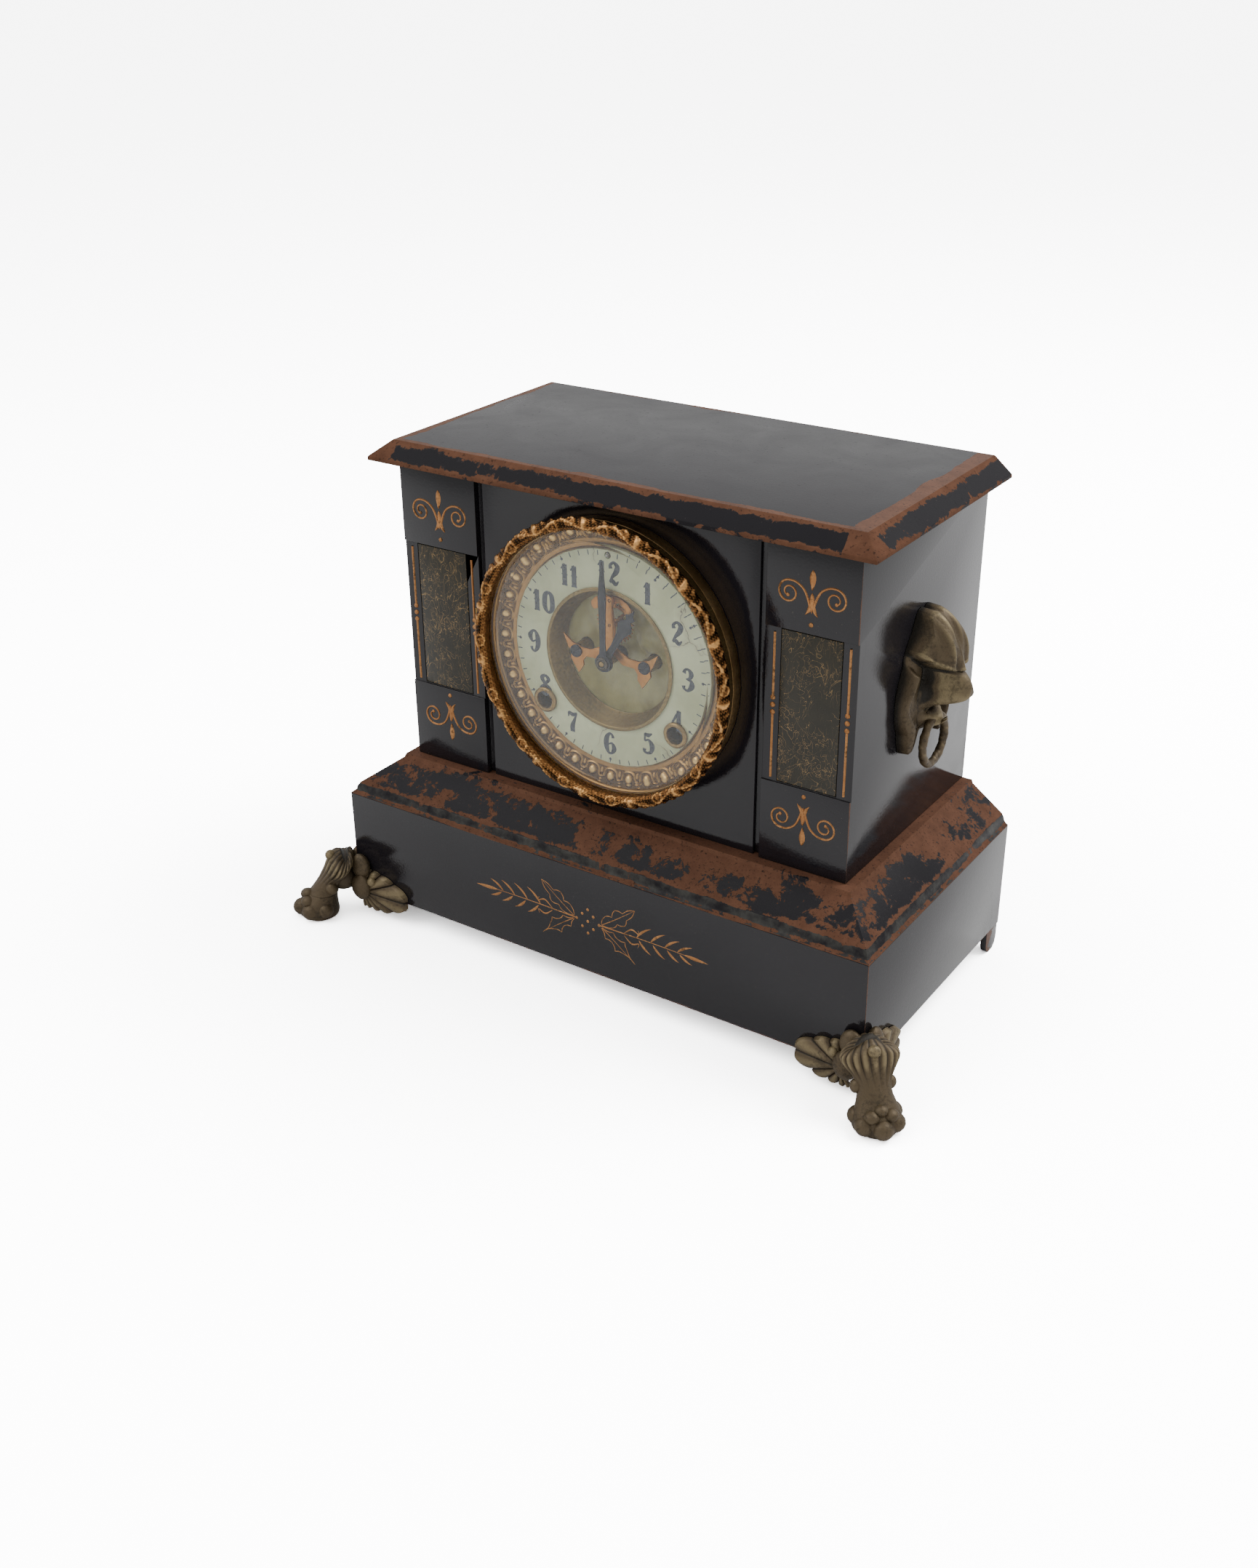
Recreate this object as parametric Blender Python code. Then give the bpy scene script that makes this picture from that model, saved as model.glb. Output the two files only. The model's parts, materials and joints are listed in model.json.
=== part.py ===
"""Mantel clock: black iron case, visible escapement, time and strike movement.

The design frame has its origin on the floor below the middle of the case front, x to the right,
y to the back and z up, in millimetres. The empty "clock" carries every object and moves the
design frame so that the world origin is the bottom centre of the whole clock, in metres.
"""

from math import atan2, cos, hypot, pi, radians, sin, sqrt

import bmesh
import bpy
from mathutils import Matrix, Vector

MM = 0.001
GAP = 0.3                      # clearance between pieces that touch

# ---- driving dimensions, in millimetres --------------------------------------------------------
CASE_HALF = 140.0              # half the width of the case body
CASE_DEPTH = 143.0             # front of the pilasters to the flat back
PLINTH_TOP = 101.5
LID_LOW = 278.2
CLOCK_HEIGHT = 288.9
SKIRT_LOW = 15.0               # lower edge of the plinth above the floor
SKIRT_OUT = 29.5               # how far the plinth stands out from the case
WALL = 4.0
LID_OUT_SIDE = 12.2
LID_OUT_FRONT = 11.7
LID_EDGE = 2.2
LID_CHAMFER = 10.3

PAW_OUT = 24.5                 # diagonal distance of the paw's middle from the plinth corner
PAW_RADIUS = 14.6

PANEL_FACE = 1.5               # centre panel, behind the pilaster faces
FRONT_THICK = 8.0
PILASTER_IN = 89.0
CENTRE_OUT = 85.0
BLOCK_LOW = 148.0              # top of the lower pilaster blocks
BLOCK_HIGH = 232.0             # bottom of the upper ones
MARBLE_IN, MARBLE_OUT = 97.5, 131.5

DIAL_Z = 194.5
DIAL_HOLE = 71.0
CHAPTER_IN, CHAPTER_OUT = 38.6, 60.0
BEZEL_RADIUS = 75.3
CASTING_RADIUS = 79.8
GLASS_RADIUS = 73.6
DOOR_AXIS = (-84.0, -6.5)      # x and y of the bezel hinge
WINDING_X, WINDING_DOWN = 41.5, 32.4
REGULATOR_UP = 57.2
POST_X = 21.4                  # posts of the escapement bridge
ESCAPE_UP = 18.8
ANCHOR_UP = 32.4

FRONT_PLATE_Y = 20.0
BACK_PLATE_Y = 60.0
PLATE_THICK = 1.6
SWING_UP = 44.0                # pendulum's suspension above the dial centre
SWING_Y = 70.0
PENDULUM_LONG = 122.0
BOB_RADIUS = 23.0
GONG_Y = 116.0
GONG_Z = 180.0

COVER_Z = 187.0
COVER_RADIUS = 66.0
BACK_HOLE = 60.0
BACK_Y = 134.3                 # inset back wall
COVER_AXIS = (-70.5, 140.6)
LATCH_X = 73.0

MASK_Y = 71.0
MASK_Z = 190.0
RING_PIVOT = (151.0, 170.5)    # x and z of the bar that the mask's ring hangs on
RING_RADIUS = 13.1
RING_WIRE = 2.4

# ---- gears: teeth and modules ------------------------------------------------------------------
GREAT_TEETH, GREAT_MODULE = 40, 1.42
SECOND_TEETH, SECOND_MODULE = 40, 0.84
CENTRE_TEETH, CENTRE_MODULE = 42, 0.75
THIRD_TEETH, THIRD_MODULE = 36, 0.73
MINUTE_TEETH, MINUTE_MODULE = 24, 0.8
HOUR_TEETH, HOUR_MODULE = 24, 0.75
GREAT_PINION, CENTRE_PINION, THIRD_PINION, ESCAPE_PINION = 8, 8, 6, 6
CANNON_PINION, MINUTE_PINION, FLY_PINION = 6, 8, 8
ESCAPE_TEETH = 30
ESCAPE_RADIUS = 11.6
ADDENDUM, DEDENDUM, SLACK = 0.75, 1.15, 0.35


def centre_distance(wheel, pinion, module):
    """Distance between two meshed gears, with a little running slack."""
    return (wheel + pinion) * module / 2 + SLACK * module


def between(a, b, from_a, from_b, side):
    """Point at two given distances from a and b, on the chosen side of the line between them."""
    dx, dz = b[0] - a[0], b[1] - a[1]
    span = hypot(dx, dz)
    along = (from_a ** 2 - from_b ** 2 + span ** 2) / (2 * span)
    across = side * sqrt(from_a ** 2 - along ** 2)
    return (a[0] + (along * dx - across * dz) / span, a[1] + (along * dz + across * dx) / span)


def polar(centre, radius, angle):
    """Point at an angle clockwise from twelve o'clock, in degrees."""
    return (centre[0] + radius * sin(radians(angle)), centre[1] + radius * cos(radians(angle)))


# Arbor places in the x-z plane, in design coordinates.
DIAL = (0.0, DIAL_Z)
GOING = (WINDING_X, DIAL_Z - WINDING_DOWN)
STRIKE = (-WINDING_X, DIAL_Z - WINDING_DOWN)
ESCAPE = (0.0, DIAL_Z + ESCAPE_UP)
ANCHOR = (0.0, DIAL_Z + ANCHOR_UP)
REGULATOR = (0.0, DIAL_Z + REGULATOR_UP)
SECOND = between(DIAL, GOING, centre_distance(SECOND_TEETH, CENTRE_PINION, SECOND_MODULE),
                 centre_distance(GREAT_TEETH, GREAT_PINION, GREAT_MODULE), 1)
THIRD = between(DIAL, ESCAPE, centre_distance(CENTRE_TEETH, THIRD_PINION, CENTRE_MODULE),
                centre_distance(THIRD_TEETH, ESCAPE_PINION, THIRD_MODULE), -1)
MINUTE = polar(DIAL, centre_distance(MINUTE_TEETH, CANNON_PINION, MINUTE_MODULE), 225)
STRIKE_SECOND = (-SECOND[0], SECOND[1])
FLY = polar(STRIKE_SECOND, centre_distance(SECOND_TEETH, FLY_PINION, SECOND_MODULE), -30)
HAMMER = (-50.0, DIAL_Z + 26.0)
PILLARS = [(s * x, DIAL_Z + z) for s in (-1, 1) for x, z in ((61.0, -62.0), (58.0, 38.0))]


# ---- outlines in the x-z plane -----------------------------------------------------------------
def circle(centre, radius, sides):
    """Regular outline, clockwise from the top."""
    return [polar(centre, radius, 360 * k / sides) for k in range(sides)]


def rect(x0, z0, x1, z1):
    return [(x0, z0), (x0, z1), (x1, z1), (x1, z0)]


def gear(teeth, module, centre, mate, valley=False):
    """Tooth outline with a tooth, or a valley, pointing at the mating gear."""
    toward = atan2(mate[0] - centre[0], mate[1] - centre[1])
    pitch = 2 * pi / teeth
    start = toward + (pitch / 2 if valley else 0)
    middle = teeth * module / 2
    tip, root = middle + ADDENDUM * module, middle - DEDENDUM * module
    points = []
    for k in range(teeth):
        for share, radius in ((-0.34, root), (-0.09, tip), (0.09, tip), (0.34, root)):
            angle = start + (k + share) * pitch
            points.append((centre[0] + radius * sin(angle), centre[1] + radius * cos(angle)))
    return points


def crossings(centre, inner, outer, arms, arm_width):
    """Openings between a wheel's arms."""
    openings = []
    for k in range(arms):
        points = []
        for radius, steps, way in ((outer, 4, 1), (inner, 2, -1)):
            half = 180 / arms - arm_width / 2 / radius * 180 / pi
            for i in range(steps):
                share = (2 * i / (steps - 1) - 1) * way
                points.append(polar(centre, radius, 360 * k / arms + share * half))
        openings.append(points)
    return openings


def star(centre, teeth, tip, root, lean):
    """Saw-toothed outline of an escape wheel."""
    points = []
    for k in range(teeth):
        pitch = 360 / teeth
        points.append(polar(centre, root, k * pitch))
        points.append(polar(centre, tip, (k + lean) * pitch))
        points.append(polar(centre, root, (k + 0.42) * pitch))
    return points


# ---- solids ------------------------------------------------------------------------------------
def stack(layers):
    """Closed solid of flat layers along y: (front y, back y, outlines), holes among the outlines."""
    bm = bmesh.new()
    open_edges = []
    for front, back, loops in layers:
        near, far = [], []
        for loop in loops:
            rows = [[bm.verts.new((x, y, z)) for x, z in loop] for y in (front, back)]
            for row, edges in zip(rows, (near, far)):
                edges += [bm.edges.new((row[i - 1], row[i])) for i in range(len(row))]
            for i in range(len(loop)):
                bm.faces.new((rows[0][i - 1], rows[0][i], rows[1][i], rows[1][i - 1]))
        bmesh.ops.triangle_fill(bm, edges=open_edges + near, normal=(0, 1, 0))
        open_edges = far
    bmesh.ops.triangle_fill(bm, edges=open_edges, normal=(0, 1, 0))
    bmesh.ops.recalc_face_normals(bm, faces=bm.faces)
    return bm


def lathe(profile, sides, centre=DIAL, lobes=0, lobe_height=0.0, closed=True):
    """Turned solid round a y axis from (radius, y) points; lobes scallop its outer part."""
    bm = bmesh.new()
    widest = max(radius for radius, _ in profile)
    narrowest = min(radius for radius, _ in profile)
    rows = []
    for radius, y in profile:
        if radius < 0.001:
            rows.append([bm.verts.new((centre[0], y, centre[1]))] * sides)
            continue
        share = (radius - narrowest) / (widest - narrowest)
        row = []
        for k in range(sides):
            lift = lobe_height * share * abs(cos(pi * lobes * k / sides)) if lobes else 0.0
            x, z = polar(centre, radius + lift, 360 * k / sides)
            row.append(bm.verts.new((x, y, z)))
        rows.append(row)
    pairs = list(zip(rows, rows[1:])) + ([(rows[-1], rows[0])] if closed else [])
    for one, two in pairs:
        for k in range(sides):
            corners = (one[k - 1], one[k], two[k], two[k - 1])
            distinct = list(dict.fromkeys(corners))
            if len(distinct) > 2:
                bm.faces.new(distinct)
    bmesh.ops.recalc_face_normals(bm, faces=bm.faces)
    return bm


def loft(rings, loop=False):
    """Closed solid through rings of equal length; loop joins the last ring to the first."""
    bm = bmesh.new()
    rows = [[bm.verts.new(point) for point in ring] for ring in rings]
    pairs = list(zip(rows, rows[1:])) + ([(rows[-1], rows[0])] if loop else [])
    for one, two in pairs:
        for k in range(len(one)):
            bm.faces.new((one[k - 1], one[k], two[k], two[k - 1]))
    if not loop:
        bm.faces.new(rows[0])
        bm.faces.new(rows[-1])
    bmesh.ops.recalc_face_normals(bm, faces=bm.faces)
    return bm


def box(low, high):
    bm = bmesh.new()
    bmesh.ops.create_cube(bm, size=1.0)
    for vert in bm.verts:
        vert.co = Vector([lo + (hi - lo) * (c + 0.5) for lo, hi, c in zip(low, high, vert.co)])
    return bm


def rod(start, end, radius, sides=12, end_radius=None):
    """Cylinder or cone between two points."""
    start, end = Vector(start), Vector(end)
    length = (end - start).length
    bm = bmesh.new()
    bmesh.ops.create_cone(bm, cap_ends=True, segments=sides, radius1=radius,
                          radius2=radius if end_radius is None else end_radius, depth=length)
    turn = (end - start).to_track_quat("Z", "Y").to_matrix().to_4x4()
    bmesh.ops.transform(bm, verts=bm.verts, matrix=Matrix.Translation((start + end) / 2) @ turn)
    return bm


def sweep(points, radius, sides, wide=None):
    """Wire along a curve in a plane of constant y; wide makes its section a flat strip."""
    rings = []
    for i, (x, y, z) in enumerate(points):
        before, after = points[max(i - 1, 0)], points[min(i + 1, len(points) - 1)]
        along = Vector((after[0] - before[0], 0, after[2] - before[2])).normalized()
        across = Vector((along.z, 0, -along.x))
        ring = []
        for k in range(sides):
            angle = 2 * pi * (k + 0.5) / sides
            in_plane, in_depth = radius * cos(angle), (wide or radius) * sin(angle)
            ring.append(Vector((x, y, z)) + across * in_plane + Vector((0, in_depth, 0)))
        rings.append(ring)
    return loft(rings)


def torus(centre, radius, wire, sides, wire_sides):
    """Ring standing in the y-z plane."""
    rings = []
    for k in range(sides):
        out = Vector((0, sin(2 * pi * k / sides), cos(2 * pi * k / sides)))
        rings.append([Vector(centre) + out * (radius + wire * cos(2 * pi * j / wire_sides))
                      + Vector((wire * sin(2 * pi * j / wire_sides), 0, 0))
                      for j in range(wire_sides)])
    return loft(rings, loop=True)


def combine(operation, first, *others):
    """Boolean of closed shapes: UNION joins them, DIFFERENCE cuts the others from the first."""
    for other in others:
        pieces = []
        for bm in (first, other):
            mesh = bpy.data.meshes.new("working")
            bm.to_mesh(mesh)
            bm.free()
            piece = bpy.data.objects.new("working", mesh)
            bpy.context.scene.collection.objects.link(piece)
            pieces.append(piece)
        modifier = pieces[0].modifiers.new("join", "BOOLEAN")
        modifier.operation = operation
        modifier.solver = "EXACT"
        modifier.object = pieces[1]
        evaluated = pieces[0].evaluated_get(bpy.context.evaluated_depsgraph_get())
        first = bmesh.new()
        first.from_mesh(evaluated.to_mesh())
        bmesh.ops.remove_doubles(first, verts=first.verts, dist=0.005)
        bmesh.ops.dissolve_degenerate(first, edges=first.edges, dist=0.005)
        for piece in pieces:
            mesh = piece.data
            bpy.data.objects.remove(piece)
            bpy.data.meshes.remove(mesh)
    return first


def flip_x(bm):
    """Mirror image of a shape across the middle of the clock."""
    copy = bm.copy()
    for vert in copy.verts:
        vert.co.x = -vert.co.x
    bmesh.ops.reverse_faces(copy, faces=copy.faces)
    return copy


# ---- finishes ----------------------------------------------------------------------------------
FINISHES = {
    "black_enamel": ((0.035, 0.032, 0.037), 0.22, 0.0),
    "marble": ((0.075, 0.066, 0.042), 0.3, 0.0),
    "spelter": ((0.105, 0.09, 0.06), 0.55, 0.7),
    "brass": ((0.52, 0.36, 0.14), 0.35, 1.0),
    "gilt": ((0.45, 0.24, 0.1), 0.4, 1.0),
    "enamel_dial": ((0.62, 0.62, 0.45), 0.25, 0.0),
    "glass": ((0.8, 0.88, 0.84), 0.03, 0.0),
    "blued_steel": ((0.04, 0.04, 0.06), 0.35, 0.8),
    "steel": ((0.4, 0.39, 0.37), 0.4, 1.0),
    "tinplate": ((0.33, 0.31, 0.27), 0.5, 0.9),
}


def finish(name):
    """Principled material of a named finish, made once."""
    material = bpy.data.materials.get(name)
    if material is None:
        colour, roughness, metallic = FINISHES[name]
        material = bpy.data.materials.new(name)
        material.use_nodes = True
        shader = material.node_tree.nodes["Principled BSDF"]
        shader.inputs["Base Color"].default_value = (*colour, 1)
        shader.inputs["Roughness"].default_value = roughness
        shader.inputs["Metallic"].default_value = metallic
        material.diffuse_color = (*colour, 1)
    return material


def add(name, bm, finish_name, pivot=(0, 0, 0)):
    """Object in metres under the clock's empty, its origin on the pivot."""
    bmesh.ops.translate(bm, verts=bm.verts, vec=-Vector(pivot))
    bmesh.ops.scale(bm, verts=bm.verts, vec=(MM, MM, MM))
    mesh = bpy.data.meshes.new(name)
    bm.to_mesh(mesh)
    bm.free()
    mesh.materials.append(finish(finish_name))
    mesh.shade_smooth()
    mesh.set_sharp_from_angle(angle=radians(35))
    piece = bpy.data.objects.new(name, mesh)
    piece.location = Vector(pivot) * MM
    piece.parent = bpy.data.objects["clock"]
    bpy.context.scene.collection.objects.link(piece)
    return piece


def on_axis(place):
    """Pivot on an arbor that runs front to back."""
    return (place[0], 0.0, place[1])


# ---- case --------------------------------------------------------------------------------------
def case_ring(out, z, back=CASE_DEPTH):
    """Rectangle that stands out from the case by the same amount on its front and both sides."""
    x = CASE_HALF + out
    return [(-x, -out, z), (x, -out, z), (x, back, z), (-x, back, z)]


def build_plinth():
    """Hollow moulded plinth, open below, with a slot in its deck for the pendulum."""
    slot = rect(-70, 45, 70, 100)
    slot = [slot[0], slot[3], slot[2], slot[1]]
    outside = [(SKIRT_OUT, SKIRT_LOW), (SKIRT_OUT, 79.5), (28.2, 80.2), (27.0, 81.6), (26.6, 83.4),
               (25.3, 85.6), (6.4, 99.4), (5.6, PLINTH_TOP)]
    inside = [(1.0, 97.0), (21.0, 82.5), (SKIRT_OUT - WALL, 77.0), (SKIRT_OUT - WALL, SKIRT_LOW)]
    rings = [case_ring(out, z) for out, z in outside]
    rings += [[(x, y, z) for x, y in slot] for z in (PLINTH_TOP, 97.0)]
    rings += [case_ring(out, z, CASE_DEPTH - WALL) for out, z in inside]
    plinth = loft(rings, loop=True)
    side = CASE_HALF + SKIRT_OUT
    for s in (-1, 1):
        x0, x1 = sorted((s * (side - 0.2), s * (side - WALL + 0.2)))
        outline = [(128, 24), (128, 6), (129, 2.5), (132, 0), (138, 0), (141, 2.5), (142, 6), (142, 24)]
        tab = loft([[(x, y, z) for y, z in outline] for x in (x0, x1)])
        plinth = combine("UNION", plinth, tab)
    add("base_plinth", plinth, "black_enamel")


def build_case():
    """Body casting with pilasters, recesses and the dial hole, its back wall and the lid."""
    low, high = PLINTH_TOP + GAP, LID_LOW - GAP
    inner = CASE_HALF - WALL
    wall = [(-CASE_HALF, 0), (CASE_HALF, 0), (CASE_HALF, CASE_DEPTH), (inner, CASE_DEPTH),
            (inner, FRONT_THICK), (-inner, FRONT_THICK), (-inner, CASE_DEPTH),
            (-CASE_HALF, CASE_DEPTH)]
    body = loft([[(x, y, z) for x, y in wall] for z in (low, high)])
    cuts = [box((-CENTRE_OUT, -5, low - 5), (CENTRE_OUT, PANEL_FACE, high + 5))]
    for s in (-1, 1):
        for x0, x1, depth, z0, z1 in (
                (CENTRE_OUT - 0.2, PILASTER_IN, 4.0, low - 5, high + 5),
                (PILASTER_IN - 1, CASE_HALF + 5, 1.0, BLOCK_LOW, BLOCK_HIGH),
                (MARBLE_IN, MARBLE_OUT, 3.0, BLOCK_LOW + 0.4, BLOCK_HIGH - 0.4)):
            x0, x1 = sorted((s * x0, s * x1))
            cuts.append(box((x0, -5, z0), (x1, depth, z1)))
    cuts.append(stack([(-5, FRONT_THICK + 5, [circle(DIAL, DIAL_HOLE, 48)])]))
    add("case_body", combine("DIFFERENCE", body, *cuts), "black_enamel")

    back = stack([(BACK_Y, BACK_Y + WALL, [rect(-inner + GAP, low, inner - GAP, high),
                                           circle((0, COVER_Z), BACK_HOLE, 28)])])
    x, y = COVER_AXIS
    for z in (COVER_Z - 13, COVER_Z + 9):
        knuckle = combine("UNION", box((x - 5, BACK_Y + 2, z), (x - 1.0, y - 0.4, z + 4)),
                          rod((x, y, z + 0.05), (x, y, z + 3.95), 1.7, 10))
        ear = box((x - 3, BACK_Y + 2, z + 0.1), (x + 0.9, y - 0.5, z + 3.9))
        back = combine("UNION", back, combine("UNION", knuckle, ear))
    back = combine("UNION", back, rod((x, y, COVER_Z - 11), (x, y, COVER_Z + 11), 0.7, 8))
    add("case_back", back, "black_enamel")

    side, front = CASE_HALF + LID_OUT_SIDE, LID_OUT_FRONT

    def lid_ring(inset, z, back_inset=0.0):
        x, y = side - inset, -front + inset
        return [(-x, y, z), (x, y, z), (x, CASE_DEPTH - back_inset, z), (-x, CASE_DEPTH - back_inset, z)]

    hollow = LID_OUT_SIDE + 6
    lid = loft([lid_ring(hollow, CLOCK_HEIGHT - 5, 8), lid_ring(hollow, LID_LOW, 8),
                lid_ring(0, LID_LOW), lid_ring(0, LID_LOW + LID_EDGE),
                lid_ring(LID_CHAMFER, CLOCK_HEIGHT)])
    add("case_lid", lid, "black_enamel")

    for name, s in (("left", -1), ("right", 1)):
        x0, x1 = sorted((s * (MARBLE_IN + GAP), s * (MARBLE_OUT - GAP)))
        panel = box((x0, 0.8, BLOCK_LOW + 0.4 + GAP), (x1, 3.0 - GAP, BLOCK_HIGH - 0.4 - GAP))
        add("marble_panel_" + name, panel, "marble")


def build_back_cover():
    """Pressed cover over the hole in the back, its hinge on the left and a turn button."""
    centre = (0, COVER_Z)
    front = BACK_Y + WALL + GAP
    cover = lathe([(0, front + 2.6), (52, front + 2.4), (56, front + 1.0),
                   (COVER_RADIUS, front + 0.9), (COVER_RADIUS, front), (55.6, front + 0.1),
                   (51.6, front + 1.5), (0, front + 1.7)], 28, centre, closed=False)
    x, y = COVER_AXIS
    strap = box((x + 0.6, front + 0.1, COVER_Z - 8), (x + 14, front + 0.8, COVER_Z + 8))
    knuckle = rod((x, y, COVER_Z - 8.2), (x, y, COVER_Z + 8.2), 1.7, 10)
    cover = combine("UNION", cover, combine("UNION", strap, knuckle))
    cover = combine("DIFFERENCE", cover, rod((x, y, COVER_Z - 20), (x, y, COVER_Z + 20), 1.1, 10))
    add("back_cover", cover, "tinplate", (x, y, COVER_Z))
    pivot = (LATCH_X, COVER_Z)
    latch = stack([(front, front + 1.3, [circle(pivot, 2.2, 12)]),
                   (front + 1.3, front + 2.5, [rect(pivot[0] - 2.6, pivot[1] - 8,
                                                    pivot[0] + 2.6, pivot[1] + 8)])])
    add("back_cover_latch", latch, "brass", on_axis(pivot))


def mask_height(y, z):
    """How far a mask stands out of the case side: brow, nose, cheeks and mane."""
    def bump(cy, cz, wy, wz, height):
        return height * pow(2.718, -((y - cy) / wy) ** 2 - ((z - cz) / wz) ** 2)
    return (4 + bump(0, 16, 14, 14, 17) + bump(0, -2, 8, 8, 20) + bump(0, 4, 20, 18, 6)
            + bump(-13, -6, 8, 13, 5) + bump(13, -6, 8, 13, 5) + bump(0, -13, 8, 5, 7))


def build_masks():
    """Cast lion masks on both sides, each with a loose ring hanging from its mouth."""
    back = CASE_HALF + GAP
    spokes, rows = 24, 5
    outline = []
    for k in range(spokes):
        angle = 2 * pi * k / spokes
        up, across = cos(angle), sin(angle)
        reach = 28 / sqrt(across ** 2 + (up * (28 / 39.5 if up > 0 else 28 / 36.5)) ** 2)
        reach *= 1 - 0.13 * abs(sin(3.5 * angle)) * (0.4 + 0.6 * abs(across))
        outline.append((across * reach, up * reach))
    rings = [[(back, MASK_Y + y, MASK_Z + z) for y, z in outline]]
    for row in range(rows):
        share = 1 - row / rows
        rings.append([(back + mask_height(y * share, z * share) * (1 if row else 0.6),
                       MASK_Y + y * share, MASK_Z + z * share) for y, z in outline])
    mask = loft(rings)
    x, z = RING_PIVOT
    mouth = rod((x, MASK_Y - 40, z), (x, MASK_Y + 40, z), 4.4, 12)
    chin = box((x - 4.4, MASK_Y - 40, z - 40), (x + 40, MASK_Y + 40, z))
    mask = combine("DIFFERENCE", mask, mouth, chin)
    hook = [(back + 1, z - 9), (back + 1, z - 4.5), (x, z - 3.2), (x + 3.2, z - 1.8),
            (x + 3.4, z + 1.2), (x + 5.6, z + 1.0), (x + 5.2, z - 4.2), (x, z - 6.4)]
    tongue = loft([[(px, MASK_Y + y, pz) for px, pz in hook] for y in (-2.0, 2.0)])
    mask = combine("UNION", mask, tongue)
    ring = torus((x, MASK_Y, z - RING_RADIUS), RING_RADIUS, RING_WIRE, 18, 6)
    for name, shape, finish_name, pivot in (("lion_mask_", mask, "spelter", (0, 0, 0)),
                                            ("mask_ring_", ring, "spelter", (x, MASK_Y, z))):
        add(name + "left", flip_x(shape), finish_name, (-pivot[0], pivot[1], pivot[2]))
        add(name + "right", shape, finish_name, pivot)


# ---- feet --------------------------------------------------------------------------------------
LEG = [(0.0, 1.00, 0.60), (2.0, 1.06, 0.92), (6.0, 1.05, 1.0), (10.5, 1.01, 0.95),
       (13.5, 0.94, 0.77), (16.0, 0.86, 0.62), (22.0, 0.73, 0.58), (31.0, 0.55, 0.66),
       (38.0, 0.42, 0.62), (42.5, 0.34, 0.32)]


def leg(low, high):
    """Part of a paw foot between two heights: rings that lean in towards the plinth corner."""
    corner = Vector((CASE_HALF + SKIRT_OUT, -SKIRT_OUT, 0))
    outward = Vector((1, -1, 0)).normalized()

    def ring_at(z):
        for (z0, d0, r0), (z1, d1, r1) in zip(LEG, LEG[1:]):
            if z0 <= z <= z1:
                share = (z - z0) / (z1 - z0)
                reach, radius = d0 + (d1 - d0) * share, r0 + (r1 - r0) * share
        middle = corner + outward * PAW_OUT * reach + Vector((0, 0, z))
        return [middle + Vector((cos(2 * pi * k / 12), sin(2 * pi * k / 12), 0)) * PAW_RADIUS * radius
                for k in range(12)]

    heights = [low] + [z for z, _, _ in LEG if low < z < high] + [high]
    return loft([ring_at(z) for z in heights])


def wing(along_side):
    """Scalloped shell of a foot, flat on the plinth's front or side."""
    outline = []
    for k in range(24):
        angle = 2 * pi * k / 24
        scallop = 1 + 0.05 * abs(sin(6 * angle))
        outline.append((25.5 + 17.2 * scallop * cos(angle) - 3.0 * sin(angle),
                        17.5 + 12.6 * scallop * sin(angle)))
    corner = CASE_HALF + SKIRT_OUT
    rings = []
    for out in (-1.0, 4.3):
        ring = []
        for along, z in outline:
            if along_side:
                ring.append((corner + out, -SKIRT_OUT + along - 4, z))
            else:
                ring.append((corner - along + 4, -SKIRT_OUT - out, z))
        rings.append(ring)
    return loft(rings)


def shoulder(along_side):
    """Web between a foot's shell and its leg."""
    corner = CASE_HALF + SKIRT_OUT
    outline = [(21, 11), (21, 24), (14, 33), (4, 41), (-6, 41), (-9, 26), (-9, 19), (6, 15)]
    rings = []
    for out in (-1.5, 7.0):
        if along_side:
            rings.append([(corner + out, -SKIRT_OUT + along, z + 0.7) for along, z in outline])
        else:
            rings.append([(corner - along, -SKIRT_OUT - out, z) for along, z in outline])
    return loft(rings)


def build_feet():
    """Winged paw feet at the front corners; the left paw has broken off and stands on its stump."""
    def clear_of_plinth():
        corner = CASE_HALF + SKIRT_OUT + GAP
        return box((0, -SKIRT_OUT - GAP, -5), (corner, 100, 100))

    def foot(low):
        shape = combine("UNION", leg(low, LEG[-1][0]), shoulder(False), shoulder(True),
                        wing(False), wing(True))
        return combine("DIFFERENCE", shape, clear_of_plinth())

    break_z = 15.0
    add("foot_front_right", foot(0.0), "spelter")
    add("foot_front_left", flip_x(foot(break_z + GAP)), "spelter")
    add("paw_front_left", flip_x(leg(0.0, break_z)), "spelter")


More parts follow.
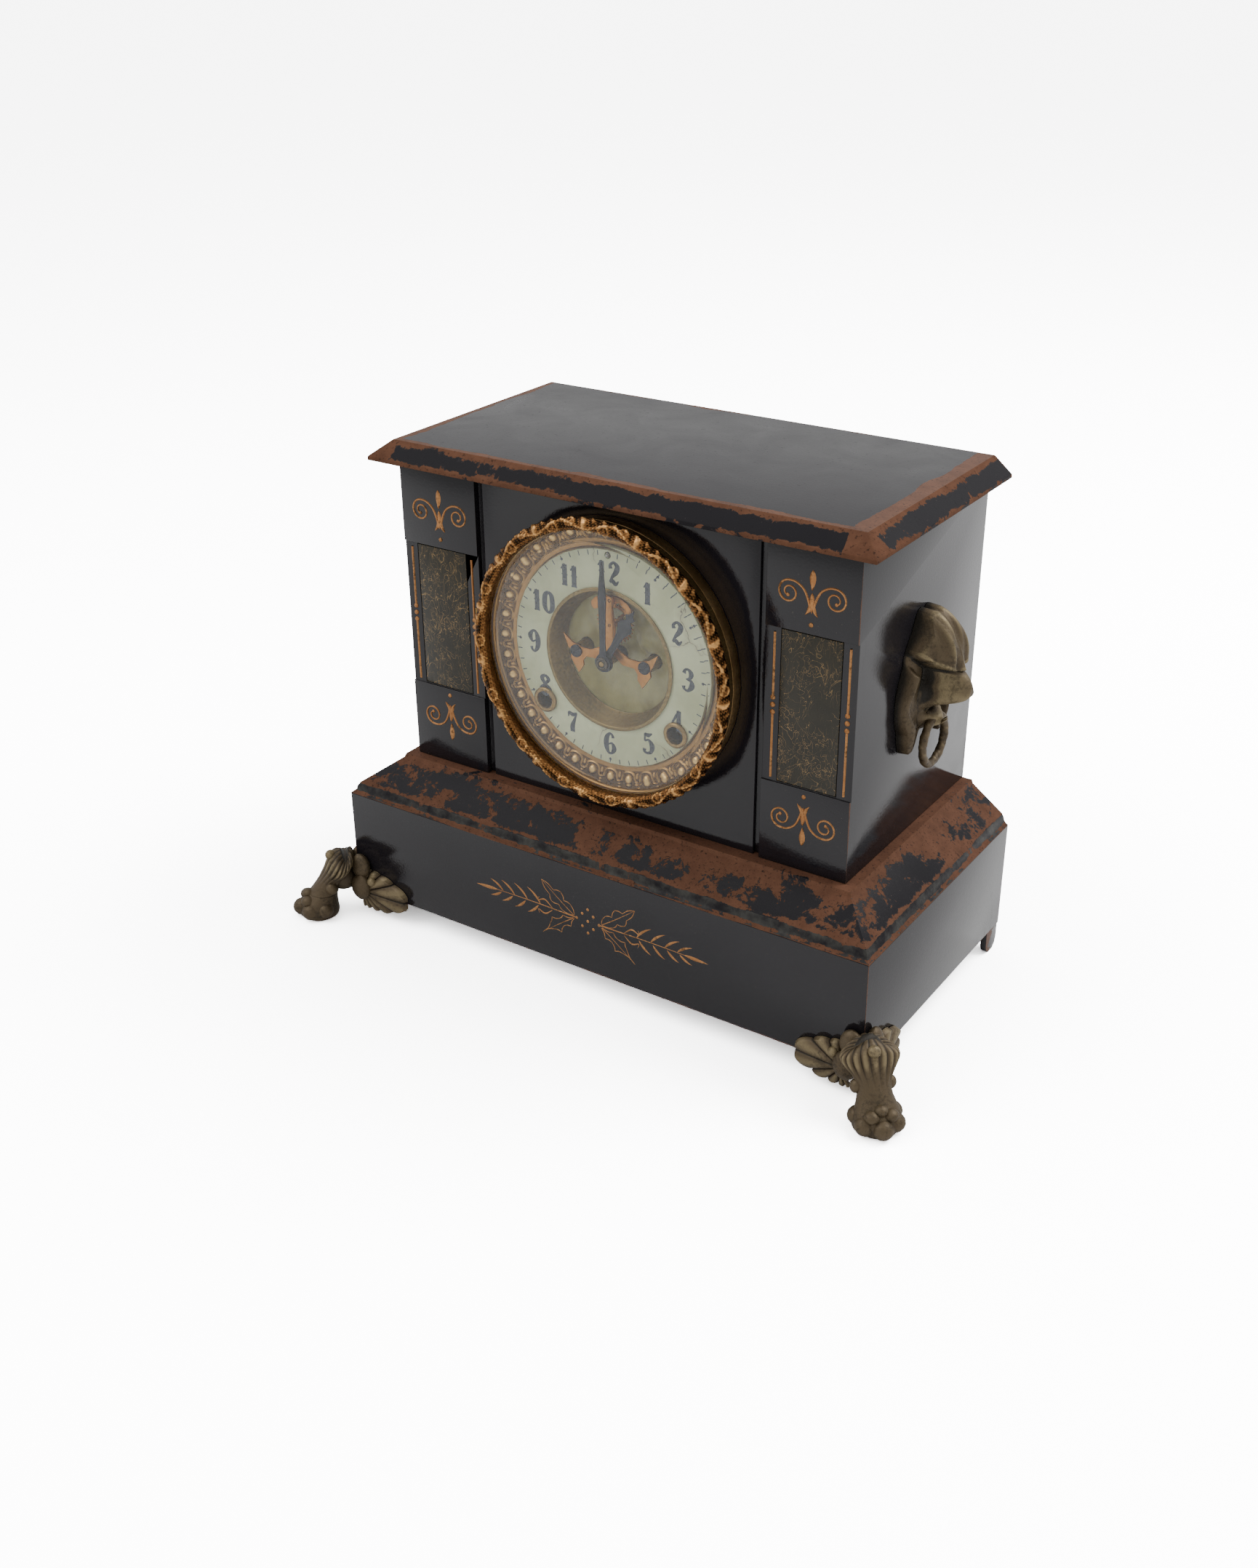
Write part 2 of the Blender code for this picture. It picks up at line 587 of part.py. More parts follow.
# ---- dial and door -----------------------------------------------------------------------------
def build_dial():
    """Brass pan, enamel chapter ring, well and centre dial, with collars round the winding holes."""
    holes = [(GOING, 6.3), (STRIKE, 6.3), (REGULATOR, 1.9)]
    pan = lathe([(73.8, -6.0), (75.5, -6.0), (75.5, PANEL_FACE - GAP), (70.5, PANEL_FACE - GAP),
                 (70.5, 12.0), (68.8, 12.0), (68.8, -0.8), (39.8, -0.8), (39.8, -2.0),
                 (60.4, -2.0), (61.2, -2.6)], 44)
    for place, radius in holes:
        pan = combine("DIFFERENCE", pan, stack([(-8, 8, [circle(place, radius, 14)])]))
    add("dial_pan", pan, "brass")

    chapter = stack([(-4.4, -2.0 - GAP, [circle(DIAL, CHAPTER_OUT, 40), circle(DIAL, CHAPTER_IN, 36)]
                     + [circle(place, radius, 14) for place, radius in holes])])
    add("chapter_ring", chapter, "enamel_dial")

    well = lathe([(37.2, -5.6), (39.4, -5.6), (39.4, -4.7), (38.2, -4.7), (35.3, 5.2),
                  (35.3, 6.4), (33.6, 6.4), (33.8, 5.2)], 36)
    add("dial_well", well, "brass")

    posts = [(s * POST_X, DIAL_Z) for s in (-1, 1)]
    centre = stack([(6.7, 7.9, [circle(DIAL, 35.2, 40), circle(DIAL, 4.6, 14),
                                circle(ESCAPE, 2.0, 8), circle(ANCHOR, 2.0, 8)]
                    + [circle(post, 4.4, 12) for post in posts])])
    add("centre_dial", centre, "enamel_dial")

    for name, place in (("left", STRIKE), ("right", GOING)):
        collar = lathe([(4.6, -5.8), (7.1, -5.8), (7.1, -4.7), (5.9, -4.7), (5.9, 3.0), (4.6, 3.0)],
                       18, place)
        add("winding_collar_" + name, collar, "brass")
    arbor = stack([(-5.4, -4.5, [rect(-0.7, REGULATOR[1] - 0.7, 0.7, REGULATOR[1] + 0.7)]),
                   (-4.5, 74.0, [circle(REGULATOR, 1.2, 8)])])
    add("regulator_arbor", arbor, "steel", on_axis(REGULATOR))


def build_door():
    """Bezel that swings on the left: brass flange, cast rim and bevelled glass, and its fixed hinge."""
    x, y = DOOR_AXIS
    pivot = (x, y, DIAL_Z)
    flange = lathe([(73.9, -6.3), (BEZEL_RADIUS, -6.3), (BEZEL_RADIUS, -14.2), (74.1, -14.2),
                    (74.1, -12.2), (71.8, -12.2), (71.8, -11.2), (73.9, -11.2)], 40)
    strap = box((x + 0.2, y - 1.0, DIAL_Z - 6), (-74.3, y + 0.1, DIAL_Z + 6))
    knuckle = rod((x, y, DIAL_Z - 6.2), (x, y, DIAL_Z + 6.2), 2.2, 12)
    flange = combine("UNION", flange, combine("UNION", strap, knuckle))
    flange = combine("DIFFERENCE", flange, rod((x, y, DIAL_Z - 20), (x, y, DIAL_Z + 20), 1.3, 12))
    add("bezel_flange", flange, "brass", pivot)

    rim = lathe([(72.2, -14.5), (72.5, -17.6), (75.8, -19.8), (78.2, -18.8),
                 (CASTING_RADIUS - 0.8, -16.0), (75.8, -12.8), (75.8, -14.5)],
                48, lobes=12, lobe_height=1.6)
    add("bezel_casting", rim, "gilt", pivot)

    glass = lathe([(0, -12.5), (GLASS_RADIUS, -12.5), (GLASS_RADIUS, -13.5), (66.5, -15.1),
                   (0, -15.1)], 40, closed=False)
    add("bezel_glass", glass, "glass", pivot)

    foot_face = PANEL_FACE - GAP
    leaf = box((x - 3.0, foot_face - 1.4, DIAL_Z - 12), (x + 4.0, foot_face, DIAL_Z + 12))
    for z in (DIAL_Z - 11.5, DIAL_Z + 6.7):
        ear = box((x - 1.6, y - 1.6, z), (x + 1.6, foot_face - 0.3, z + 4.8))
        leaf = combine("UNION", leaf, ear)
    leaf = combine("UNION", leaf, rod((x, y, DIAL_Z - 10), (x, y, DIAL_Z + 10), 0.95, 10))
    add("bezel_hinge", leaf, "brass")


def hand_outline(stem, angle):
    """Outline of a hand from (distance, half width) pairs along one edge, then turned."""
    points = stem + [(along, -half) for along, half in reversed(stem) if half > 0.01]
    c, s = cos(radians(angle)), sin(radians(angle))
    return [(DIAL[0] + half * c + along * s, DIAL[1] + along * c - half * s)
            for along, half in points]


def build_hands():
    """Hour hand at one, minute hand at twelve and the nut that holds them."""
    def hub(radius, start):
        steps = 6
        return [(-radius * cos(pi * k / steps * start), radius * sin(pi * k / steps * start) + 0.02)
                for k in range(steps + 1)]

    hour = hub(5.2, 0.86) + [(11.0, 1.7), (20.0, 2.3), (25.5, 4.6), (28.5, 3.2), (30.0, 1.4),
                             (32.5, 3.0), (34.0, 1.2), (37.0, 0.25)]
    minute = hub(4.8, 0.86) + [(12.0, 1.7), (26.0, 2.0), (36.0, 2.5), (46.0, 1.5), (55.0, 0.25)]
    for name, stem, angle, front, hole in (("hour_hand", hour, 30, -8.9, 3.4),
                                           ("minute_hand", minute, 0, -10.3, 1.9)):
        hand = stack([(front, front + 0.8, [hand_outline(stem, angle), circle(DIAL, hole, 12)])])
        add(name, hand, "blued_steel", on_axis(DIAL))
    nut = lathe([(1.9, -11.6), (2.6, -11.9), (3.6, -11.4), (3.6, -10.6), (1.9, -10.6)], 12)
    add("hand_nut", nut, "brass", on_axis(DIAL))


def build_escapement():
    """Bridge on two posts in the well, the escape wheel and the anchor with its crutch."""
    face = -3.5
    right = [(1.5, 3.9), (4.0, 1.6), (8.0, -1.6), (15.0, -1.8), (17.2, -4.6), (17.0, -7.4), (20.0, -12.0),
             (23.2, -7.4), (25.2, -4.4), (24.6, -1.0), (26.6, 1.6), (29.6, 8.6), (24.0, 4.4),
             (18.0, 2.6), (12.0, 2.8), (3.6, 7.0), (2.6, 12.0), (3.4, 17.4), (2.4, 22.4),
             (1.8, 28.2), (2.2, 34.6)]
    outline = [(x, DIAL_Z + z) for x, z in right] + [(-x, DIAL_Z + z) for x, z in reversed(right)]
    bridge = stack([(face, face + 1.2, [outline, circle(ESCAPE, 1.0, 8), circle(ANCHOR, 1.0, 8)])])
    add("escapement_bridge", bridge, "gilt")
    for name, s in (("left", -1), ("right", 1)):
        place = (s * POST_X, DIAL_Z)
        post = stack([(face + 1.2 + GAP, FRONT_PLATE_Y - GAP, [circle(place, 3.8, 14)])])
        add("bridge_post_" + name, post, "brass")

    wheel = stack([(-3.3, 1.4, [circle(ESCAPE, 0.6, 8)]),
                   (1.4, 2.4, [star(ESCAPE, ESCAPE_TEETH, ESCAPE_RADIUS, 9.8, 0.3)]
                    + crossings(ESCAPE, 2.2, 8.4, 4, 1.6)),
                   (2.4, 56.0, [circle(ESCAPE, 0.55, 8)]),
                   (56.0, 59.0, [gear(ESCAPE_PINION, THIRD_MODULE, ESCAPE, THIRD, True)]),
                   (59.0, 61.2, [circle(ESCAPE, 0.5, 8)])])
    add("escape_wheel", wheel, "gilt", on_axis(ESCAPE))

    cx, cz = ANCHOR
    arm = [(0.0, 2.4), (5.5, 1.8), (10.0, -0.4), (12.4, -3.2), (12.2, -5.6), (10.6, -7.2),
           (8.2, -6.0), (8.4, -3.6), (4.8, -0.8), (0.9, -2.4)]
    arms = [(cx + x, cz + z) for x, z in arm] + [(cx - x, cz + z) for x, z in reversed(arm[1:])]
    pads = [[polar(ESCAPE, radius, s * angle)
             for radius, angle in ((12.7, 46), (13.9, 46), (13.9, 52), (12.7, 52))] for s in (-1, 1)]
    crutch_low = DIAL_Z - 6.0
    crutch = [(-1.0, cz + 2.0), (1.0, cz + 2.0), (1.0, crutch_low + 5), (3.6, crutch_low + 3),
              (3.6, crutch_low), (-3.6, crutch_low), (-3.6, crutch_low + 3), (-1.0, crutch_low + 5)]
    prongs = [rect(s * 2.6 - 0.6, crutch_low + 0.6, s * 2.6 + 0.6, crutch_low + 2.2) for s in (-1, 1)]
    anchor = stack([(-3.3, -1.9, [circle(ANCHOR, 0.6, 8)]),
                    (-1.9, -0.6, [arms]),
                    (-0.6, 2.4, pads + [circle(ANCHOR, 0.9, 8)]),
                    (2.4, 64.5, [circle(ANCHOR, 0.8, 8)]),
                    (64.5, 65.5, [crutch]),
                    (65.5, 72.5, prongs)])
    add("pallet_anchor", anchor, "gilt", on_axis(ANCHOR))


# ---- movement ----------------------------------------------------------------------------------
def plate_holes(front):
    """Pivot holes of a movement plate."""
    holes = [circle(place, 1.0, 6) for place in (SECOND, THIRD, STRIKE_SECOND, FLY)]
    holes += [circle(place, 3.4, 10) for place in (GOING, STRIKE)]
    holes += [circle(ANCHOR, 1.4, 6), circle(ESCAPE, 1.1, 6), circle(HAMMER, 1.7, 6)]
    holes.append(circle(DIAL, 2.0 if front else 1.3, 8))
    return holes


def build_plates():
    """Front plate on four legs behind the case front, back plate with its riveted pillars."""
    def at(points):
        return [(x, DIAL_Z + z) for x, z in points]

    ears = [(66, -67), (66, -62), (78, -62), (78, -50), (66, -50), (66, 30), (78, 30), (78, 42),
            (66, 42), (60, 44)]
    outline = at(ears) + at([(-x, z) for x, z in reversed(ears)])
    legs = [at(rect(s * 72 - 4, z - 4, s * 72 + 4, z + 4)) for s in (-1, 1) for z in (-56, 36)]
    front = stack([(FRONT_THICK + GAP, FRONT_PLATE_Y, legs),
                   (FRONT_PLATE_Y, FRONT_PLATE_Y + PLATE_THICK, [outline] + plate_holes(True))])
    add("front_plate", front, "brass")

    pillars = [circle(place, 3.4, 12) for place in PILLARS]
    square = at([(66, -67), (66, 40), (62, 44), (-62, 44), (-66, 40), (-66, -67)])
    back = stack([(FRONT_PLATE_Y + PLATE_THICK + GAP, BACK_PLATE_Y, pillars),
                  (BACK_PLATE_Y, BACK_PLATE_Y + PLATE_THICK, [square] + plate_holes(False))])
    add("back_plate", back, "brass")


def spiral(centre, inner, outer, turns, steps, y):
    """Points of a flat spiral, from its outer end inwards."""
    points = []
    for k in range(int(turns * steps) + 1):
        share = k / (turns * steps)
        x, z = polar(centre, outer + (inner - outer) * share, 360 * k / steps)
        points.append((x, y, z))
    return points


def build_winding(name, place, mate):
    """Great wheel on its winding arbor, with the open mainspring behind it."""
    wheel = stack([(26.0, 27.8, [gear(GREAT_TEETH, GREAT_MODULE, place, mate), circle(place, 3.0, 12)]
                    + crossings(place, 8.0, 23.5, 4, 5.0))])
    add(name + "_great_wheel", wheel, "brass", on_axis(place))
    arbor = stack([(0.4, 8.0, [circle(place, 2.0, 4)]),
                   (8.0, 28.4, [circle(place, 2.5, 12)]),
                   (28.4, 30.0, [circle(place, 6.0, 16)]),
                   (30.0, 63.0, [circle(place, 2.5, 12)])])
    add(name + "_winding_arbor", arbor, "steel", on_axis(place))
    spring = sweep(spiral(place, 4.2, 23.5, 3, 14, 40.0), 0.35, 4, 10.5)
    add(name + "_mainspring", spring, "steel")


def wheel_and_pinion(name, place, wheel, pinion, wheel_first, finish_name="brass"):
    """Arbor with a crossed wheel and a pinion; both are (front y, back y, outline, openings)."""
    first, last = (wheel, pinion) if wheel_first else (pinion, wheel)
    start, stop = FRONT_PLATE_Y, BACK_PLATE_Y + PLATE_THICK
    shape = stack([(start, first[0], [circle(place, 0.5, 8)]),
                   (first[0], first[1], [first[2]] + first[3]),
                   (first[1], last[0], [circle(place, 0.55, 8)]),
                   (last[0], last[1], [last[2]] + last[3]),
                   (last[1], stop, [circle(place, 0.5, 8)])])
    add(name, shape, finish_name, on_axis(place))


def build_trains():
    """Going train, motion work and strike train."""
    wheel_and_pinion("going_second_wheel", SECOND,
                     (53.0, 54.2, gear(SECOND_TEETH, SECOND_MODULE, SECOND, DIAL),
                      crossings(SECOND, 4.0, 14.0, 4, 2.4)),
                     (25.4, 28.4, gear(GREAT_PINION, GREAT_MODULE, SECOND, GOING, True), []), False)
    wheel_and_pinion("third_wheel", THIRD,
                     (57.0, 58.0, gear(THIRD_TEETH, THIRD_MODULE, THIRD, ESCAPE),
                      crossings(THIRD, 3.0, 10.6, 4, 2.0)),
                     (43.0, 46.4, gear(THIRD_PINION, CENTRE_MODULE, THIRD, DIAL, True), []), False)
    centre = stack([(-11.5, 15.0, [circle(DIAL, 1.4, 12)]),
                    (15.0, 17.0, [gear(CANNON_PINION, MINUTE_MODULE, DIAL, MINUTE, True)]),
                    (17.0, 44.0, [circle(DIAL, 1.5, 12)]),
                    (44.0, 45.2, [gear(CENTRE_TEETH, CENTRE_MODULE, DIAL, THIRD)]
                     + crossings(DIAL, 3.6, 13.2, 4, 2.2)),
                    (45.2, 52.2, [circle(DIAL, 1.4, 12)]),
                    (52.2, 55.0, [gear(CENTRE_PINION, SECOND_MODULE, DIAL, SECOND, True)]),
                    (55.0, 61.4, [circle(DIAL, 0.8, 12)])])
    add("centre_wheel", centre, "brass", on_axis(DIAL))

    minute = stack([(9.0, 11.4, [circle(MINUTE, 0.8, 8)]),
                    (11.4, 14.4, [gear(MINUTE_PINION, HOUR_MODULE, MINUTE, DIAL, True)]),
                    (14.4, 15.4, [circle(MINUTE, 0.9, 8)]),
                    (15.4, 16.6, [gear(MINUTE_TEETH, MINUTE_MODULE, MINUTE, DIAL)]
                     + crossings(MINUTE, 2.4, 7.0, 4, 1.6)),
                    (16.6, FRONT_PLATE_Y - GAP, [circle(MINUTE, 0.8, 8)])])
    add("minute_wheel", minute, "brass", on_axis(MINUTE))
    hour = stack([(-8.5, 12.2, [circle(DIAL, 3.0, 14), circle(DIAL, 2.1, 14)]),
                  (12.2, 13.4, [gear(HOUR_TEETH, HOUR_MODULE, DIAL, MINUTE), circle(DIAL, 2.2, 14)]
                   + crossings(DIAL, 4.0, 7.6, 4, 1.6))])
    add("hour_wheel", hour, "brass", on_axis(DIAL))

    wheel_and_pinion("strike_second_wheel", STRIKE_SECOND,
                     (48.8, 50.0, gear(SECOND_TEETH, SECOND_MODULE, STRIKE_SECOND, FLY),
                      crossings(STRIKE_SECOND, 4.0, 14.0, 4, 2.4)),
                     (25.4, 28.4, gear(GREAT_PINION, GREAT_MODULE, STRIKE_SECOND, STRIKE, True), []),
                     False)
    blade = rect(FLY[0] - 9.0, FLY[1] - 0.7, FLY[0] + 9.0, FLY[1] + 0.7)
    wheel_and_pinion("strike_fly", FLY, (25.0, 35.0, blade, []),
                     (48.0, 51.0, gear(FLY_PINION, SECOND_MODULE, FLY, STRIKE_SECOND, True), []), True)

    notches = []
    for k in range(12):
        start = k * (k + 3) * 2.0
        notches += [polar(STRIKE, 16.0, start), polar(STRIKE, 13.4, start + 0.6),
                    polar(STRIKE, 13.4, start + 4), polar(STRIKE, 16.0, start + 4.6)]
    count = stack([(52.4, 53.4, [notches, circle(STRIKE, 3.0, 12)])])
    add("count_wheel", count, "brass", on_axis(STRIKE))


def build_strike():
    """Hammer, coiled gong and the stand that holds it, all behind the movement."""
    hx, hz = HAMMER
    head = (-48.6, GONG_Z)
    hammer = stack([(21.9, 65.0, [circle(HAMMER, 1.2, 8)]),
                    (65.0, 67.0, [[(hx - 2.4, hz + 2.4), (hx + 2.4, hz + 2.4), (head[0] + 1.6, head[1] - 2),
                                   (head[0] - 1.6, head[1] - 2)]]),
                    (67.0, 112.0, [circle((head[0], head[1]), 0.9, 8)]),
                    (112.0, 120.0, [circle(head, 4.2, 14)])])
    add("strike_hammer", hammer, "brass", on_axis(HAMMER))

    centre = (0.0, GONG_Z)
    coil = spiral(centre, 12.0, 40.0, 3, 14, GONG_Y)
    add("gong", sweep(coil, 1.2, 5), "blued_steel")
    end_x, _, end_z = coil[-1]
    foot = box((-16, 106, PLINTH_TOP + GAP), (16, 128, PLINTH_TOP + 7))
    post = box((-4, 121, PLINTH_TOP + 3), (4, 126, GONG_Z + 16))
    head_block = box((-6, 111, GONG_Z - 6), (6, 124, GONG_Z + 5))
    stand = combine("UNION", foot, post, head_block)
    grip = rod((end_x, GONG_Y, end_z), (end_x * 0.2, GONG_Y, GONG_Z + (end_z - GONG_Z) * 0.2), 1.9, 8)
    add("gong_stand", combine("DIFFERENCE", stand, grip), "spelter")


def build_pendulum():
    """Suspension cock, suspension rod, pendulum rod with its eye, bob and rating nut."""
    z = DIAL_Z + SWING_UP
    pivot = (0.0, SWING_Y, z)
    face = BACK_PLATE_Y + PLATE_THICK + GAP
    plate = stack([(face, face + 1.6, [rect(-8, z - 8, 8, REGULATOR[1] + 6), circle(REGULATOR, 1.7, 8)])])
    arm = box((-5, face + 1, z + 0.6), (5, SWING_Y + 4, z + 3.6))
    add("suspension_cock", combine("UNION", plate, arm), "brass")

    eye_z = DIAL_Z - 9.0
    strip = box((-2.2, SWING_Y - 0.15, z - 11), (2.2, SWING_Y + 0.15, z + 0.3))
    block = box((-2.8, SWING_Y - 3.4, z - 14), (2.8, SWING_Y + 1.2, z - 10))
    wire = rod((0, SWING_Y - 2.2, z - 12), (0, SWING_Y - 2.2, eye_z - 1.2), 0.8, 8)
    hook = rod((0, SWING_Y - 3.0, eye_z - 1.0), (0, SWING_Y + 3.0, eye_z - 1.0), 0.85, 8)
    add("suspension_rod", combine("UNION", strip, block, wire, hook), "brass", pivot)

    top = eye_z + 3.0
    tip = top - PENDULUM_LONG
    bob_z = tip + BOB_RADIUS + 5.0
    flat = [(-3.4, top - 2.4), (-1.6, top), (1.6, top), (3.4, top - 2.4), (3.4, top - 12), (2.2, top - 16),
            (2.2, bob_z + 4.0), (-2.2, bob_z + 4.0), (-2.2, top - 16), (-3.4, top - 12)]
    eye = [(-1.6, top - 2.6), (1.6, top - 2.6), (1.6, top - 10), (-1.6, top - 10)]
    strap = stack([(SWING_Y - 0.5, SWING_Y + 0.5, [flat, eye])])
    screw = rod((0, SWING_Y, bob_z + 6), (0, SWING_Y, tip), 0.9, 8)
    add("pendulum_rod", combine("UNION", strap, screw), "brass", pivot)

    bob = lathe([(0, SWING_Y - 4.2), (10, SWING_Y - 3.8), (18, SWING_Y - 2.6), (22.6, SWING_Y - 0.9),
                 (BOB_RADIUS, SWING_Y), (22.6, SWING_Y + 0.9), (18, SWING_Y + 2.0),
                 (0, SWING_Y + 2.6)], 26, (0.0, bob_z), closed=False)
    slot = box((-2.6, SWING_Y - 0.9, bob_z - 30), (2.6, SWING_Y + 0.9, bob_z + 30))
    slot = combine("UNION", slot, box((-1.4, SWING_Y - 1.3, bob_z - 30), (1.4, SWING_Y + 1.3, bob_z + 30)))
    add("pendulum_bob", combine("DIFFERENCE", bob, slot), "brass", pivot)

    low = bob_z - BOB_RADIUS - 0.6
    ring = [Vector((3.4 * cos(2 * pi * k / 12), SWING_Y + 3.4 * sin(2 * pi * k / 12), 0)) for k in range(12)]
    nut = loft([[point + Vector((0, 0, h)) for point in ring] for h in (low - 2.4, low)])
    nut = combine("DIFFERENCE", nut, rod((0, SWING_Y, low - 9), (0, SWING_Y, low + 9), 1.25, 8))
    add("rating_nut", nut, "brass", (0.0, SWING_Y, low))


def build_key():
    """Double-winged winding key, lying on the plinth's deck inside the case."""
    x, y, z = -103.0, 60.0, PLINTH_TOP + GAP + 4.2
    half = [(2.6, 2.0), (6, 8.5), (14, 13.5), (22, 14.5), (28, 9.5), (29.3, 3.0), (26, -3.5), (19, -6.5),
            (11, -6.0), (4.2, -7.5)]
    wings = [(along, up) for along, up in half] + [(-along, up) for along, up in reversed(half)]
    flat = loft([[(x - up, y + along, z + dz) for along, up in wings] for dz in (-1.3, 1.3)])
    barrel = rod((x - 2.0, y, z), (x + 22.0, y, z), 4.1, 14)
    key = combine("UNION", flat, barrel)
    square = box((x + 8, y - 1.75, z - 1.75), (x + 30, y + 1.75, z + 1.75))
    add("winding_key", combine("DIFFERENCE", key, square), "steel")


def main():
    """Clear the scene, then build the clock from its case to its key."""
    for old in list(bpy.data.objects):
        bpy.data.objects.remove(old)
    clock = bpy.data.objects.new("clock", None)
    bpy.context.scene.collection.objects.link(clock)
    front_reach = SKIRT_OUT + PAW_OUT * LEG[2][1] / sqrt(2) + PAW_RADIUS
    clock.location = (0, (front_reach - CASE_DEPTH) / 2 * MM, 0)
    build_plinth()
    build_case()
    build_back_cover()
    build_masks()
    build_feet()
    build_dial()
    build_door()
    build_hands()
    build_escapement()
    build_plates()
    build_winding("going", GOING, SECOND)
    build_winding("strike", STRIKE, STRIKE_SECOND)
    build_trains()
    build_strike()
    build_pendulum()
    build_key()


main()
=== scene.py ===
"""Looks of a black iron mantel clock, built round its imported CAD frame.

Every builder below works in millimetres in the clock's design frame: x to the right, y to the
back with its zero on the pilaster faces, z up from the surface that the clock stands on.
"""

import json
import logging
from dataclasses import dataclass, field
from enum import Enum
from math import atan2, cos, exp, hypot, pi, radians, sin, sqrt
from typing import Callable, Iterable, Sequence

import bmesh
import bpy
from mathutils import Euler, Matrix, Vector


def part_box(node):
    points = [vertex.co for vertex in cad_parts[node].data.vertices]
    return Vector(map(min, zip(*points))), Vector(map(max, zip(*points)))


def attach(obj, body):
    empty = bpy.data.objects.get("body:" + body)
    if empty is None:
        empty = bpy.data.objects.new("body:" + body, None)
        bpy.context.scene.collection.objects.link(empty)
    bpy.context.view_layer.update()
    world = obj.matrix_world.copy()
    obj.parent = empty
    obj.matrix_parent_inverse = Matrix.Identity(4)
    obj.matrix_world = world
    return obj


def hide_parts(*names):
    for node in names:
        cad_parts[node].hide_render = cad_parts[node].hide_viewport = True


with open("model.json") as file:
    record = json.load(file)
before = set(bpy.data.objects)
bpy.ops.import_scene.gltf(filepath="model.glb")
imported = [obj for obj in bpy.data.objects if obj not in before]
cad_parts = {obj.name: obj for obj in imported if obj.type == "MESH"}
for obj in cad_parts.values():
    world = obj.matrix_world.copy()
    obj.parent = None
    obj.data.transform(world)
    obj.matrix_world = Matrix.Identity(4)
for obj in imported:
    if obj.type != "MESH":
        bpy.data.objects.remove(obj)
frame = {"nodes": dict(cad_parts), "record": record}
LOG = logging.getLogger("clock")
Point = tuple[float, ...]
Socket = bpy.types.NodeSocket
Tree = bpy.types.NodeTree
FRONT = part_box("case_body")[0].y * 1000     # where the design frame's y is zero
DIAL = (0.0, 194.5)                         # x and z of the dial's middle
WELD = 1e-6                                 # metres within which vertices are joined


class Slot(Enum):
    """The record's material slots."""

    ENAMEL = "black_enamel"
    MARBLE = "marble"
    SPELTER = "spelter"
    BRASS = "brass"
    GILT = "gilt"
    DIAL = "enamel_dial"
    GLASS = "glass"
    BLUED = "blued_steel"
    STEEL = "steel"
    TIN = "tinplate"


# ---- shader nodes ------------------------------------------------------------------------------
def feed(tree: Tree, made: bpy.types.Node, inputs: dict) -> None:
    """Link sockets to a node's inputs, or set constants on them.

    Args:
        tree: Tree that holds the node.
        made: The node.
        inputs: Input name or index to a value or an output socket.
    """
    for key, value in inputs.items():
        if isinstance(value, Socket):
            tree.links.new(value, made.inputs[key])
        else:
            made.inputs[key].default_value = value


